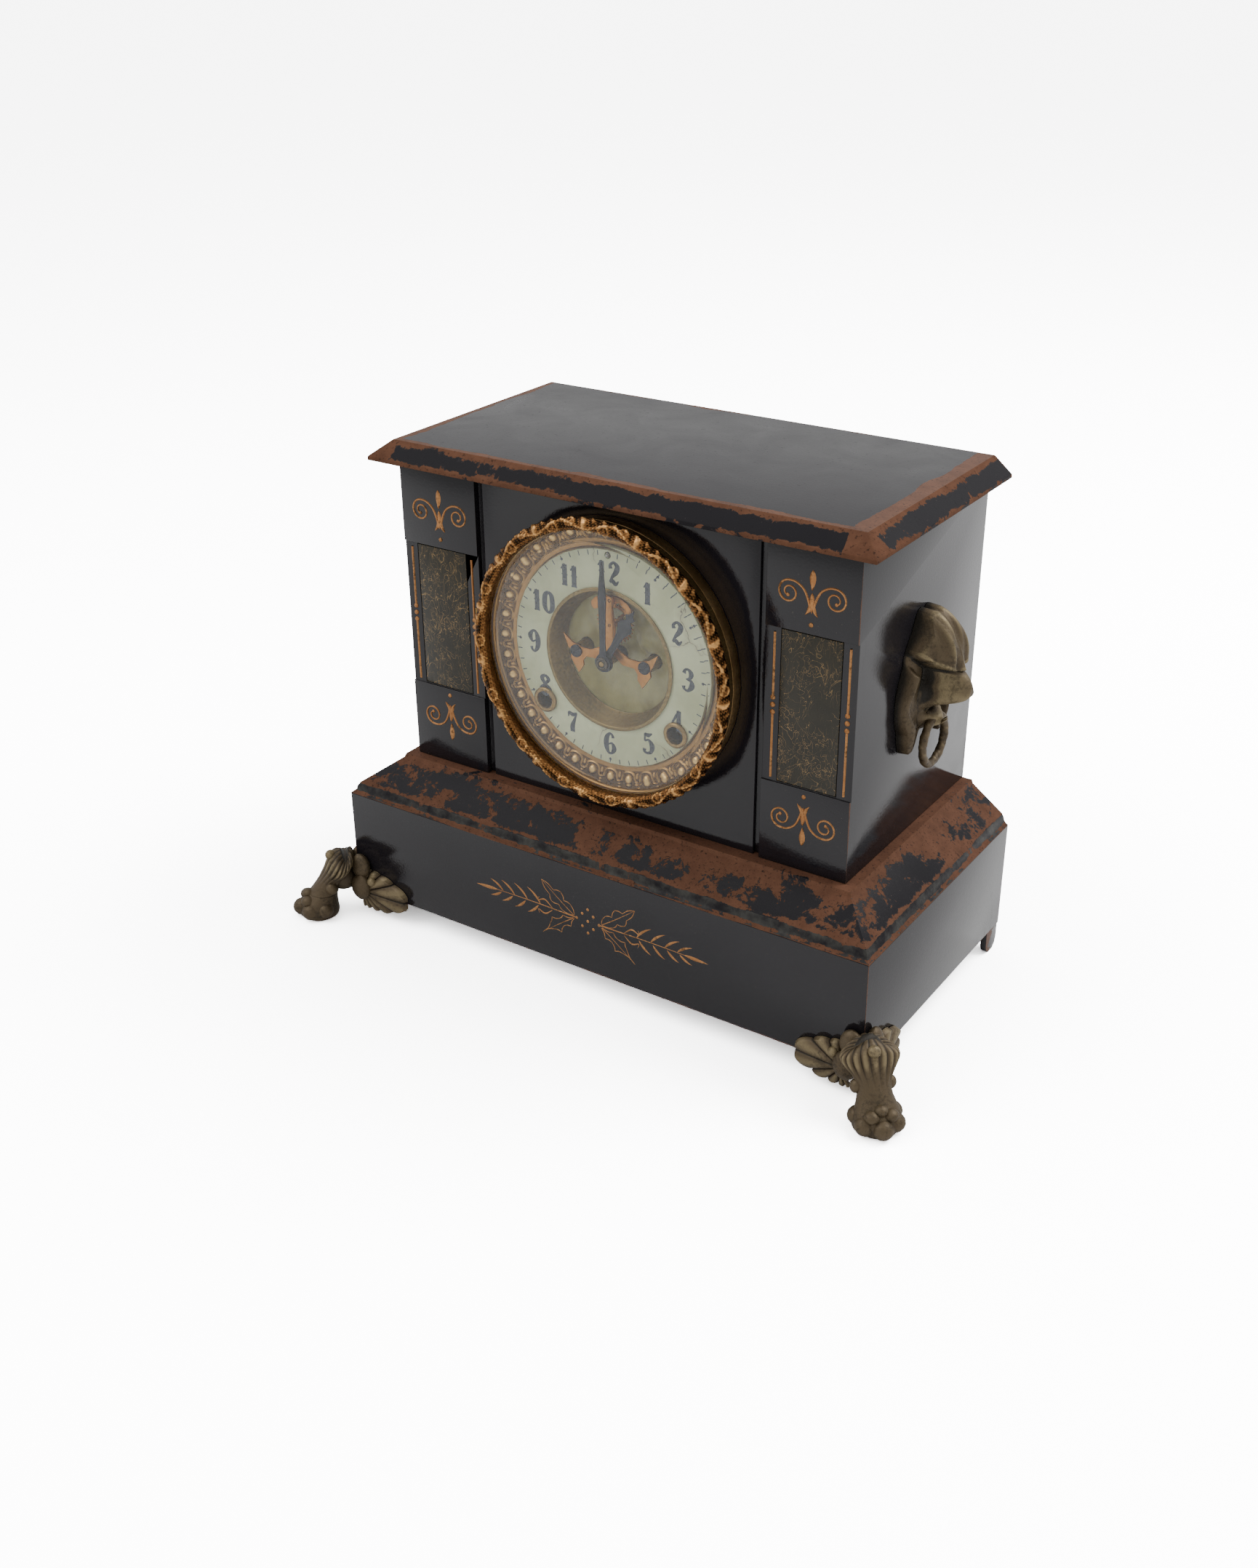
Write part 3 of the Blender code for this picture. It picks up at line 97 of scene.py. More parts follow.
class Graph:
    """Adds and links nodes in one shader tree."""

    def __init__(self, tree: Tree) -> None:
        """Keep the tree that the nodes go into."""
        self.tree = tree

    def node(self, kind: str, inputs: dict | None = None, out: int | str | None = 0,
             **props: object) -> Socket | None:
        """Add a node.

        Args:
            kind: Node type without its "ShaderNode" prefix.
            inputs: Socket name or index to a value or an output socket.
            out: Output socket to return, if any.
            props: Node properties.

        Returns:
            The chosen output socket.
        """
        made = self.tree.nodes.new("ShaderNode" + kind)
        for name, value in props.items():
            setattr(made, name, value)
        feed(self.tree, made, inputs or {})
        return made.outputs[out] if out is not None else None

    def math(self, operation: str, *values: Socket | float) -> Socket:
        """A Math node over two or three values."""
        return self.node("Math", dict(enumerate(values)), operation=operation)

    def fit(self, value: Socket, low: float, high: Socket | float, start: float = 0.0,
            end: float = 1.0) -> Socket:
        """Smooth, clamped remapping.

        Args:
            value: Value to remap.
            low, high: Its range.
            start, end: What low and high become.

        Returns:
            The remapped value.
        """
        return self.node("MapRange", {0: value, 1: low, 2: high, 3: start, 4: end},
                         interpolation_type="SMOOTHSTEP")

    def ramp(self, value: Socket, points: Sequence[Point]) -> Socket:
        """Piecewise linear curve.

        Args:
            value: Place along the curve.
            points: (x, y) points of the curve, y from 0 to 1.

        Returns:
            The curve's y.
        """
        low, high = points[0][0], points[-1][0]
        share = self.node("MapRange", {0: value, 1: low, 2: high})
        made = self.node("ValToRGB", {0: share}).node
        stops = made.color_ramp.elements
        while len(stops) < len(points):
            stops.new(0.5)
        for stop, (x, y) in zip(stops, points):
            stop.position = (x - low) / (high - low)
            stop.color = (y, y, y, 1.0)
        return made.outputs[0]

    def mix(self, amount: Socket | float, first: Socket | Point, second: Socket | Point) -> Socket:
        """Colour blend from first to second."""
        return self.node("Mix", {0: amount, 6: _rgba(first), 7: _rgba(second)}, 2, data_type="RGBA")

    def place(self) -> Socket:
        """Object coordinates."""
        return self.node("TexCoord", out="Object")

    def noise(self, scale: float, detail: float = 3.0, rough: float = 0.5, warp: float = 0.0,
              stretch: Point = (1.0, 1.0, 1.0)) -> Socket:
        """Fractal noise in object space.

        Args:
            scale: Features per metre.
            detail, rough: Number and strength of the finer layers.
            warp: Distortion.
            stretch: Scale along each axis.

        Returns:
            The noise, from 0 to 1.
        """
        vector = self.node("Mapping", {0: self.place(), 3: stretch})
        return self.node("TexNoise", {"Vector": vector, "Scale": scale, "Detail": detail,
                                      "Roughness": rough, "Distortion": warp})

    def group(self, tree: Tree, inputs: dict, out: str) -> Socket:
        """Add a node group.

        Args:
            tree: The group.
            inputs: Input name to a value or an output socket.
            out: Name of the output to return.

        Returns:
            The chosen output socket.
        """
        made = self.tree.nodes.new("ShaderNodeGroup")
        made.node_tree = tree
        feed(self.tree, made, inputs)
        return made.outputs[out]


def _rgba(value: Socket | Point) -> Socket | Point:
    """Colours of three numbers get an alpha; sockets pass through."""
    return value if isinstance(value, Socket) else (*value, 1.0)


def add_sockets(tree: Tree, inputs: dict[str, str], outputs: dict[str, str]) -> None:
    """Give a node group its named sockets.

    Args:
        tree: The group.
        inputs, outputs: Socket name to its kind.
    """
    for labels, way in ((inputs, "INPUT"), (outputs, "OUTPUT")):
        for label, kind in labels.items():
            tree.interface.new_socket(label, in_out=way, socket_type="NodeSocket" + kind)


def _group(name: str, inputs: dict[str, str], outputs: dict[str, str],
           fill: Callable[[Graph, bpy.types.Node], dict[str, Socket]]) -> Tree:
    """Make a shader group once.

    Args:
        name: Name of the group.
        inputs, outputs: Socket name to its kind.
        fill: Adds the nodes and gives the socket for each output.

    Returns:
        The group.
    """
    if name in bpy.data.node_groups:
        return bpy.data.node_groups[name]
    tree = bpy.data.node_groups.new(name, "ShaderNodeTree")
    add_sockets(tree, inputs, outputs)
    source = tree.nodes.new("NodeGroupInput")
    sink = tree.nodes.new("NodeGroupOutput")
    for label, socket in fill(Graph(tree), source).items():
        tree.links.new(socket, sink.inputs[label])
    return tree


def edge_distance() -> Tree:
    """Group: distance of a point on a box from the box's nearest edge."""
    def fill(g: Graph, source: bpy.types.Node) -> dict[str, Socket]:
        """Smallest distance to an edge over the three axes."""
        place = g.place()
        low = g.node("VectorMath", {0: place, 1: source.outputs["Low"]}, operation="SUBTRACT")
        high = g.node("VectorMath", {0: source.outputs["High"], 1: place}, operation="SUBTRACT")
        near = g.node("VectorMath", {0: low, 1: high}, operation="MINIMUM")
        x, y, z = g.node("SeparateXYZ", {0: near}).node.outputs
        pairs = [g.math("MAXIMUM", a, b) for a, b in ((x, y), (y, z), (x, z))]
        return {"Distance": g.math("MINIMUM", g.math("MINIMUM", pairs[0], pairs[1]), pairs[2])}

    return _group("edge distance", {"Low": "Vector", "High": "Vector"}, {"Distance": "Float"}, fill)


def flaking() -> Tree:
    """Group: ragged flakes of missing paint, more of them where Bias is larger."""
    def fill(g: Graph, source: bpy.types.Node) -> dict[str, Socket]:
        """Large flakes with small crumbs at their rims."""
        large = g.noise(70, 8, 0.7, 0.7)
        small = g.noise(360, 5, 0.65)
        total = g.math("MULTIPLY_ADD", small, 0.3, g.math("MULTIPLY", large, 0.78))
        total = g.math("ADD", total, source.outputs["Bias"])
        return {"Bare": g.fit(total, 0.545, 0.565), "Rim": g.fit(total, 0.515, 0.55)}

    return _group("flaking", {"Bias": "Float"}, {"Bare": "Float", "Rim": "Float"}, fill)


def handled() -> Tree:
    """Group: roughness and fine bump of a handled, slightly scratched surface."""
    def fill(g: Graph, source: bpy.types.Node) -> dict[str, Socket]:
        """Smudges, grain and upright scratches."""
        smudge = g.noise(26, 5, 0.6, 0.8)
        grain = g.noise(1500, 3, 0.5)
        scratch = g.noise(500, 2, 0.5, 0.2, (1.0, 1.0, 0.04))
        lines = g.fit(scratch, 0.66, 0.72)
        rough = g.math("MULTIPLY_ADD", smudge, source.outputs["Spread"], source.outputs["Roughness"])
        rough = g.math("MULTIPLY_ADD", lines, 0.08, rough)
        height = g.math("MULTIPLY_ADD", grain, 0.6, g.math("MULTIPLY", lines, 0.25))
        normal = g.node("Bump", {"Strength": source.outputs["Bump"], "Distance": 0.00008,
                                 "Height": height})
        return {"Roughness": rough, "Normal": normal, "Smudge": smudge}

    return _group("handled", {"Roughness": "Float", "Spread": "Float", "Bump": "Float"},
                  {"Roughness": "Float", "Normal": "Vector", "Smudge": "Float"}, fill)


@dataclass(frozen=True)
class Finish:
    """A procedural finish; subclasses say how its shader is wired."""

    name: str
    slot: Slot

    def material(self) -> bpy.types.Material:
        """The finish's material, made once."""
        made = bpy.data.materials.get(self.name)
        if made is None:
            made = bpy.data.materials.new(self.name)
            made.use_nodes = True
            shader = made.node_tree.nodes["Principled BSDF"]
            feed(made.node_tree, shader, self.wire(Graph(made.node_tree)))
        return made

    def wire(self, g: Graph) -> dict:
        """Principled inputs by name."""
        raise NotImplementedError


@dataclass(frozen=True)
class BlackEnamel(Finish):
    """Baked black enamel that has flaked to rust-brown primer at edges and on mouldings.

    Attributes:
        low, high: Box whose edges are worn, in metres.
        edge: Usual width of the worn band along edges, in metres.
        worn: (height in metres, bare share) points across a worn moulding.
        cove: Height range, in metres, of a greyed hollow.
        gloss: Base roughness and how much it varies.
    """

    low: Point = (-1.0, -1.0, -1.0)
    high: Point = (1.0, 1.0, 1.0)
    edge: float = 0.0012
    worn: tuple[Point, ...] = ()
    cove: tuple[float, float] = (2.0, 3.0)
    gloss: tuple[float, float] = (0.03, 0.1)

    def wire(self, g: Graph) -> dict:
        """Principled inputs by name."""
        near = g.group(edge_distance(), {"Low": self.low, "High": self.high}, "Distance")
        near = g.math("MAXIMUM", near, 0.0)
        reach = g.math("MULTIPLY", g.fit(g.noise(24, 3), 0.35, 0.7, 0.25, 2.2), self.edge)
        bias = g.fit(near, 0.0, reach, 0.2, -0.3)
        height = g.node("SeparateXYZ", {0: g.place()}, 2)
        satin = 0.0
        if self.worn:
            share = g.ramp(height, self.worn)
            patch = g.math("MULTIPLY_ADD", g.noise(30, 4, 0.6, 0.0, (0.75, 1.0, 1.6)), 0.66, -0.33)
            band = g.math("ADD", g.math("MULTIPLY_ADD", share, 0.52, -0.3), patch)
            bias = g.math("MAXIMUM", bias, band)
            satin = g.fit(share, 0.01, 0.08)
        flakes = {key: g.group(flaking(), {"Bias": bias}, key) for key in ("Bare", "Rim")}
        bare = flakes["Bare"]
        surface = {"Roughness": self.gloss[0], "Spread": self.gloss[1], "Bump": 0.07}
        smudge = g.group(handled(), surface, "Smudge")
        rough = g.math("MULTIPLY_ADD", satin, 0.26, g.group(handled(), surface, "Roughness"))
        black = g.mix(smudge, (0.0075, 0.0065, 0.008), (0.0145, 0.013, 0.0155))
        speck = g.fit(g.noise(900, 2, 0.6), 0.735, 0.76)
        black = g.mix(g.math("MULTIPLY", speck, 0.5), black, (0.12, 0.1, 0.085))
        inside = g.math("MULTIPLY", g.math("GREATER_THAN", height, self.cove[0]),
                        g.math("LESS_THAN", height, self.cove[1]))
        grey = g.math("MULTIPLY", inside, g.fit(g.noise(130, 5, 0.6), 0.3, 0.75))
        black = g.mix(grey, black, (0.05, 0.049, 0.044))
        black = g.mix(g.math("MULTIPLY", g.math("SUBTRACT", flakes["Rim"], bare), 0.4), black,
                      (0.034, 0.033, 0.035))
        primer = g.mix(g.noise(110, 6, 0.62), (0.054, 0.024, 0.0145), (0.158, 0.073, 0.042))
        primer = g.mix(g.fit(g.noise(620, 3, 0.6), 0.55, 0.75), primer, (0.026, 0.014, 0.01))
        depth = g.math("MULTIPLY_ADD", g.noise(800, 4, 0.6), 0.4, g.math("SUBTRACT", 1.0, bare))
        chipped = g.node("Bump", {"Strength": 0.6, "Distance": 0.0002, "Height": depth,
                                  "Normal": g.group(handled(), surface, "Normal")})
        return {"Base Color": g.mix(bare, black, primer),
                "Roughness": g.math("MULTIPLY_ADD", bare, 0.45, rough),
                "Normal": chipped,
                "Specular IOR Level": g.math("MULTIPLY_ADD", satin, -0.3, 0.4)}


@dataclass(frozen=True)
class Marble(Finish):
    """Polished dark olive stone with tangled hair-fine veins."""

    def wire(self, g: Graph) -> dict:
        """Principled inputs by name."""
        veins = None
        for scale, width, warp in ((46, 0.007, 3.2), (70, 0.008, 2.6), (100, 0.011, 3.0),
                                   (33, 0.005, 4.0), (150, 0.014, 2.5)):
            tangle = g.noise(scale, 2, 0.45, warp, (1.0, 1.0, 0.62))
            line = g.fit(g.math("ABSOLUTE", g.math("SUBTRACT", tangle, 0.5)), width, 0.0)
            broken = g.fit(g.noise(scale * 0.7, 2, 0.5, 0.5), 0.44, 0.6)
            line = g.math("MULTIPLY", line, broken)
            veins = line if veins is None else g.math("MAXIMUM", veins, line)
        cloud = g.noise(55, 4, 0.6, 0.6)
        ground = g.mix(cloud, (0.009, 0.0085, 0.0055), (0.034, 0.028, 0.016))
        colour = g.mix(g.math("MULTIPLY", veins, 0.75), ground, (0.33, 0.205, 0.08))
        rough = g.group(handled(), {"Roughness": 0.16, "Spread": 0.2, "Bump": 0.1}, "Roughness")
        normal = g.node("Bump", {"Strength": 0.12, "Distance": 0.0001, "Height": veins})
        return {"Base Color": colour, "Roughness": rough, "Normal": normal,
                "Specular IOR Level": 0.35}


@dataclass(frozen=True)
class AgedMetal(Finish):
    """Metal with stains and pits, painted shade in its hollows and painted highlights on its raised parts.

    Attributes:
        deep, body, bright: Colours of stains and painted shade in hollows, of the general surface, and of
            painted highlights on raised parts (random lighter patches where there is no relief).
        roughness: Base roughness.
        metallic: Metallic value.
        stain: Amount of dark staining.
        relief: True if the mesh carries a "relief" attribute, whose values paint highlights and shade.
        pits: Strength of the fine pitting.
    """

    deep: Point = (0.02, 0.015, 0.01)
    body: Point = (0.3, 0.2, 0.1)
    bright: Point = (0.6, 0.45, 0.2)
    roughness: float = 0.35
    metallic: float = 1.0
    stain: float = 0.5
    relief: bool = False
    pits: float = 0.2

    def wire(self, g: Graph) -> dict:
        """Principled inputs by name."""
        cloud = g.noise(70, 6, 0.65, 0.5)
        fine = g.noise(650, 4, 0.6)
        colour = g.mix(g.fit(cloud, 0.35, 0.7), self.body, self.bright)
        if self.relief:
            # Painted light: high relief values give painted highlights, low ones painted shade in the
            # hollows.
            height = g.node("Attribute", out="Fac", attribute_name="relief")
            colour = g.mix(g.fit(height, 0.5, 1.0), self.body, self.bright)
            colour = g.mix(g.fit(height, 0.45, 0.08), colour, self.deep)
        spots = g.math("MULTIPLY_ADD", fine, 0.4, g.math("MULTIPLY", cloud, 0.6))
        dark = g.math("MULTIPLY", g.fit(spots, 0.48, 0.64), self.stain)
        colour = g.mix(dark, colour, self.deep)
        surface = {"Roughness": self.roughness, "Spread": 0.2, "Bump": 0.3}
        rough = g.group(handled(), surface, "Roughness")
        rough = g.math("MULTIPLY_ADD", dark, 0.25, rough)
        normal = g.node("Bump", {"Strength": self.pits, "Distance": 0.0003, "Height": fine})
        return {"Base Color": colour, "Roughness": rough, "Metallic": self.metallic,
                "Normal": normal}


@dataclass(frozen=True)
class DialEnamel(Finish):
    """Greenish cream fired enamel with stains and a few hairline cracks.

    Attributes:
        light, dark: Colours of clean and stained enamel.
        cracks: Strength of the cracks.
    """

    light: Point = (0.66, 0.69, 0.5)
    dark: Point = (0.5, 0.52, 0.34)
    cracks: float = 1.0

    def wire(self, g: Graph) -> dict:
        """Principled inputs by name."""
        cloud = g.noise(34, 4, 0.55, 0.4)
        colour = g.mix(g.fit(cloud, 0.35, 0.72), self.light, self.dark)
        warp = g.node("TexNoise", {"Vector": g.place(), "Scale": 90.0, "Detail": 3.0}, 1)
        warp = g.node("VectorMath", {0: warp, "Scale": 0.012}, operation="SCALE")
        shifted = g.node("VectorMath", {0: g.place(), 1: warp}, operation="ADD")
        cell = g.node("TexVoronoi", {"Vector": shifted, "Scale": 17.0}, 0, feature="DISTANCE_TO_EDGE")
        some = g.fit(g.noise(24, 1, 0.5), 0.5, 0.58)
        crack = g.math("MULTIPLY", g.math("MULTIPLY", g.fit(cell, 0.006, 0.0), some), self.cracks)
        halo = g.math("MULTIPLY", g.fit(cell, 0.05, 0.0), some)
        colour = g.mix(g.math("MULTIPLY", halo, 0.3 * self.cracks), colour, (0.36, 0.3, 0.17))
        colour = g.mix(g.math("MULTIPLY", crack, 0.75), colour, (0.13, 0.095, 0.06))
        rough = g.group(handled(), {"Roughness": 0.12, "Spread": 0.15, "Bump": 0.1}, "Roughness")
        normal = g.node("Bump", {"Strength": 0.15, "Distance": 0.0001, "Height": crack})
        return {"Base Color": colour, "Roughness": rough, "Normal": normal,
                "Subsurface Weight": 0.05}


@dataclass(frozen=True)
class ClearGlass(Finish):
    """Clear glass that lets lamp light through, faintly dusty."""

    def wire(self, g: Graph) -> dict:
        """Principled inputs by name."""
        shadow = g.node("LightPath", out="Is Shadow Ray")
        dust = g.noise(300, 5, 0.6)
        return {"Base Color": (0.985, 1.0, 0.985, 1.0), "Transmission Weight": 1.0, "IOR": 1.46,
                "Roughness": g.fit(dust, 0.6, 0.9, 0.0, 0.03), "Specular IOR Level": 0.3,
                "Alpha": g.math("MULTIPLY_ADD", shadow, -0.9, 1.0)}


@dataclass(frozen=True)
class Ink(Finish):
    """Fired blue-grey numeral enamel, slightly worn."""

    def wire(self, g: Graph) -> dict:
        """Principled inputs by name."""
        worn = g.fit(g.noise(520, 4, 0.65), 0.62, 0.74)
        colour = g.mix(g.noise(160, 3, 0.5), (0.018, 0.022, 0.035), (0.045, 0.055, 0.08))
        return {"Base Color": g.mix(g.math("MULTIPLY", worn, 0.45), colour, (0.3, 0.32, 0.27)),
                "Roughness": g.fit(g.noise(300, 3, 0.5), 0.3, 0.7, 0.22, 0.42)}


def mm(*values: float) -> Point:
    """Design-frame millimetres as row-frame metres."""
    x, y, z = values
    return (x / 1000, (y + FRONT) / 1000, z / 1000)


class Finishes:
    """Every finish of the clock, ready to be given to pieces."""

    case = BlackEnamel("case enamel", Slot.ENAMEL, low=mm(-140, 0, 95), high=mm(140, 160, 285),
                       edge=0.0005)
    lid = BlackEnamel("lid enamel", Slot.ENAMEL, low=mm(-139.5, 0.5, 200), high=mm(134.5, 143, 288.9),
                      edge=0.0032, gloss=(0.2, 0.22),
                      worn=((0.2774, 0.3), (0.2784, 0.7), (0.2802, 0.75), (0.2818, 0.34),
                            (0.2842, 0.14), (0.2866, 0.4), (0.2882, 0.85), (0.28875, 0.8),
                            (0.28885, 0.0)))
    plinth = BlackEnamel("plinth enamel", Slot.ENAMEL, low=mm(-169.5, -29.5, 15),
                         high=mm(169.5, 143, 79.5), edge=0.0008, cove=(0.0796, 0.0852),
                         worn=((0.0788, 0.0), (0.0793, 0.55), (0.0806, 0.74), (0.0816, 0.3),
                               (0.0846, 0.36), (0.0858, 0.8), (0.0875, 0.52), (0.0925, 0.58),
                               (0.0965, 0.68), (0.0985, 0.86), (0.102, 0.9)))
    marble = Marble("olive marble", Slot.MARBLE)
    # Finishes with relief=True paint highlights and shade from each mesh's relief attribute.
    spelter = AgedMetal("patinated spelter", Slot.SPELTER, deep=(0.012, 0.009, 0.005),
        body=(0.085, 0.06, 0.031), bright=(0.22, 0.17, 0.09), roughness=0.4, metallic=0.5,
        stain=0.5, relief=True, pits=0.7)
    spelter_plain = AgedMetal("plain spelter", Slot.SPELTER, deep=(0.012, 0.009, 0.006),
        body=(0.05, 0.04, 0.025), bright=(0.1, 0.084, 0.052), roughness=0.42, metallic=0.5,
        stain=0.5, pits=0.5)
    gilt = AgedMetal("aged gilt", Slot.GILT, deep=(0.016, 0.008, 0.003), body=(0.2, 0.09, 0.03),
        bright=(0.6, 0.32, 0.115), roughness=0.25, stain=0.4, relief=True, pits=0.3)
    gilt_line = AgedMetal("gilded line", Slot.GILT, deep=(0.05, 0.02, 0.008),
        body=(0.34, 0.15, 0.055), bright=(0.56, 0.28, 0.11), roughness=0.36, metallic=0.8,
        stain=0.75, pits=0.5)
    bridge = AgedMetal("copper gilt", Slot.GILT, deep=(0.12, 0.045, 0.012),
        body=(0.4, 0.165, 0.04), bright=(0.58, 0.28, 0.08), roughness=0.24, stain=0.35, pits=0.08)
    brass = AgedMetal("aged brass", Slot.BRASS, deep=(0.05, 0.03, 0.01), body=(0.24, 0.15, 0.055),
        bright=(0.42, 0.28, 0.11), roughness=0.26, stain=0.55, pits=0.12)
    pressed = AgedMetal("pressed brass", Slot.BRASS, deep=(0.1, 0.052, 0.017),
        body=(0.34, 0.185, 0.06), bright=(0.74, 0.48, 0.18), roughness=0.24, stain=0.2,
        relief=True, pits=0.1)
    pressed_plain = AgedMetal("plain pressed brass", Slot.BRASS, deep=(0.12, 0.07, 0.028),
        body=(0.36, 0.22, 0.09), bright=(0.5, 0.33, 0.15), roughness=0.28, stain=0.4, pits=0.1)
    well = AgedMetal("well brass", Slot.BRASS, deep=(0.05, 0.035, 0.012), body=(0.22, 0.15, 0.055),
        bright=(0.34, 0.245, 0.1), roughness=0.3, stain=0.45, pits=0.1)
    dial = DialEnamel("dial enamel", Slot.DIAL, (0.68, 0.69, 0.44), (0.52, 0.53, 0.3))
    centre = DialEnamel("centre enamel", Slot.DIAL, (0.42, 0.37, 0.15), (0.22, 0.18, 0.06), 0.5)
    ink = Ink("numeral enamel", Slot.DIAL)
    glass = ClearGlass("clear glass", Slot.GLASS)
    blued = AgedMetal("blued steel", Slot.BLUED, deep=(0.006, 0.006, 0.008),
        body=(0.018, 0.02, 0.028), bright=(0.04, 0.043, 0.058), roughness=0.3, metallic=0.7,
        stain=0.3, pits=0.15)
    nut = AgedMetal("darkened nut", Slot.BRASS, deep=(0.01, 0.009, 0.008),
        body=(0.05, 0.042, 0.035), bright=(0.12, 0.1, 0.08), roughness=0.3, metallic=0.9,
        stain=0.4, pits=0.15)
    steel = AgedMetal("worn nickel", Slot.STEEL, deep=(0.07, 0.06, 0.045), body=(0.32, 0.3, 0.26),
        bright=(0.5, 0.48, 0.43), roughness=0.3, stain=0.4, pits=0.15)
    tin = AgedMetal("dull tinplate", Slot.TIN, deep=(0.06, 0.045, 0.03), body=(0.24, 0.22, 0.18),
        bright=(0.36, 0.34, 0.29), roughness=0.38, metallic=0.9, stain=0.6, pits=0.3)
    by_slot = {Slot.ENAMEL: case, Slot.MARBLE: marble, Slot.SPELTER: spelter_plain,
               Slot.BRASS: brass, Slot.GILT: bridge, Slot.DIAL: dial, Slot.GLASS: glass,
               Slot.BLUED: blued, Slot.STEEL: steel, Slot.TIN: tin}


# ---- meshes ------------------------------------------------------------------------------------
def polar(centre: Point, radius: float, angle: float) -> Point:
    """Point clockwise from twelve o'clock, the angle in radians."""
    return (centre[0] + radius * sin(angle), centre[1] + radius * cos(angle))


def smooth(points: Sequence[Point], steps: int = 6) -> list[Point]:
    """Catmull-Rom curve.

    Args:
        points: Points of any dimension that the curve passes through.
        steps: Points per stretch.

    Returns:
        The finer points.
    """
    ends = [tuple(2 * a - b for a, b in zip(points[0], points[1])), *points,
            tuple(2 * a - b for a, b in zip(points[-1], points[-2]))]
    curve = []
    for p, q, r, s in zip(ends, ends[1:], ends[2:], ends[3:]):
        for k in range(steps):
            t = k / steps
            curve.append(tuple(0.5 * (2 * b + (c - a) * t + (2 * a - 5 * b + 4 * c - d) * t * t
                                      + (3 * b - a - 3 * c + d) * t ** 3)
                               for a, b, c, d in zip(p, q, r, s)))
    return curve + [tuple(points[-1])]


@dataclass
class Shape:
    """Growing mesh in design millimetres, with a relief value on every vertex; finishes that read it paint
    highlights where it is high and shade where it is low.
    """

    verts: list[Point] = field(default_factory=list)
    faces: list[tuple[int, ...]] = field(default_factory=list)
    relief: list[float] = field(default_factory=list)

    def add(self, verts: Iterable[Point], faces: Iterable[Sequence[int]],
            relief: Iterable[float] | None = None) -> None:
        """Append vertices and the faces between them."""
        start, verts = len(self.verts), list(verts)
        self.verts += verts
        self.faces += [tuple(start + i for i in face) for face in faces]
        self.relief += list(relief) if relief is not None else [0.7] * len(verts)

    def grid(self, rows: Sequence[Sequence[Point]], wrap: bool = False, loop: bool = False,
             relief: Sequence[Sequence[float]] | None = None) -> None:
        """Add a surface through rows of points.

        Args:
            rows: The rows, all of one length.
            wrap: True closes each row.
            loop: True joins the last row to the first.
            relief: Relief value of every point.
        """
        wide = len(rows[0])
        faces = []
        for i in range(len(rows) if loop else len(rows) - 1):
            j = (i + 1) % len(rows)
            for k in range(wide if wrap else wide - 1):
                m = (k + 1) % wide
                faces.append((i * wide + k, i * wide + m, j * wide + m, j * wide + k))
        self.add([p for row in rows for p in row], faces,
                 [v for row in relief for v in row] if relief else None)

    def turned(self, profile: Sequence[Point], sides: int = 128, centre: Point = DIAL,
               raise_by: Callable[[float, int], tuple[float, float]] | None = None) -> None:
        """Add a turned ring round a y axis.

        Args:
            profile: (radius, y) points of its closed section.
            sides: Steps round the axis.
            centre: (x, z) of the axis.
            raise_by: Gives (radial, y) offsets for an angle and a profile index.
        """
        rows = []
        for k in range(sides):
            angle = 2 * pi * k / sides
            row = []
            for i, (radius, y) in enumerate(profile):
                out, lift = raise_by(angle, i) if raise_by else (0.0, 0.0)
                x, z = polar(centre, radius + out, angle)
                row.append((x, y - lift, z))
            rows.append(row)
        self.grid(rows, wrap=True, loop=True)

    def ribbon(self, path: Sequence[Point], y: float, height: float, across: int = 5) -> None:
        """Half-round line on a plane of constant y.

        Args:
            path: (x, z, half width) along the line.
            y: Plane that the line stands on, facing -y.
            height: How far its middle stands out; 0 gives a flat print.
            across: Points across the line.
        """
        rows = []
        for i, (x, z, half) in enumerate(path):
            before, after = path[max(i - 1, 0)], path[min(i + 1, len(path) - 1)]
            dx, dz = after[0] - before[0], after[1] - before[1]
            size = hypot(dx, dz) or 1.0
            rows.append([(x + half * dz / size * t, y - height * sqrt(max(0.0, 1 - t * t))
                          * min(1.0, half / 0.5 + 0.05), z - half * dx / size * t)
                         for t in (1 - 2 * k / (across - 1) for k in range(across))])
        self.grid(rows)

    def leaf(self, start: Point, end: Point, half: float, y: float, height: float,
             bend: float = 0.0) -> None:
        """Add a pointed leaf.

        Args:
            start, end: (x, z) of its ends.
            half: Half its greatest width.
            y: Plane that it stands on.
            height: How far its middle stands out.
            bend: Sideways bow as a share of its length.
        """
        dx, dz = end[0] - start[0], end[1] - start[1]
        path = []
        for k in range(13):
            t = k / 12
            side = bend * 4 * t * (1 - t)
            path.append((start[0] + dx * t - dz * side, start[1] + dz * t + dx * side,
                         half * sin(pi * t ** 0.8) + 0.04))
        self.ribbon(path, y, height)

    def dot(self, x: float, z: float, radius: float, y: float, height: float) -> None:
        """Add a small domed stud.

        Args:
            x, z: Its middle.
            radius: Its radius.
            y: Plane that it stands on.
            height: How far it stands out.
        """
        rows = [[(x + radius * cos(a) * sin(2 * pi * k / 14), y - height * sin(a),
                  z + radius * cos(a) * cos(2 * pi * k / 14)) for k in range(14)]
                for a in (0.0, 0.5, 1.0, 1.5)]
        self.grid(rows, wrap=True)

    def ball(self, centre: Point, radii: Point, relief: float = 0.85) -> None:
        """Add an ellipsoid boss.

        Args:
            centre: Its middle.
            radii: Its half sizes.
            relief: Relief value all over it.
        """
        rows = [[(centre[0] + radii[0] * sin(a) * cos(2 * pi * k / 18),
                  centre[1] + radii[1] * sin(a) * sin(2 * pi * k / 18), centre[2] + radii[2] * cos(a))
                 for k in range(18)] for a in (0.02, 0.4, 0.8, 1.2, 1.57, 1.95, 2.35, 2.75, 3.12)]
        self.grid(rows, wrap=True, relief=[[relief] * 18 for _ in rows])

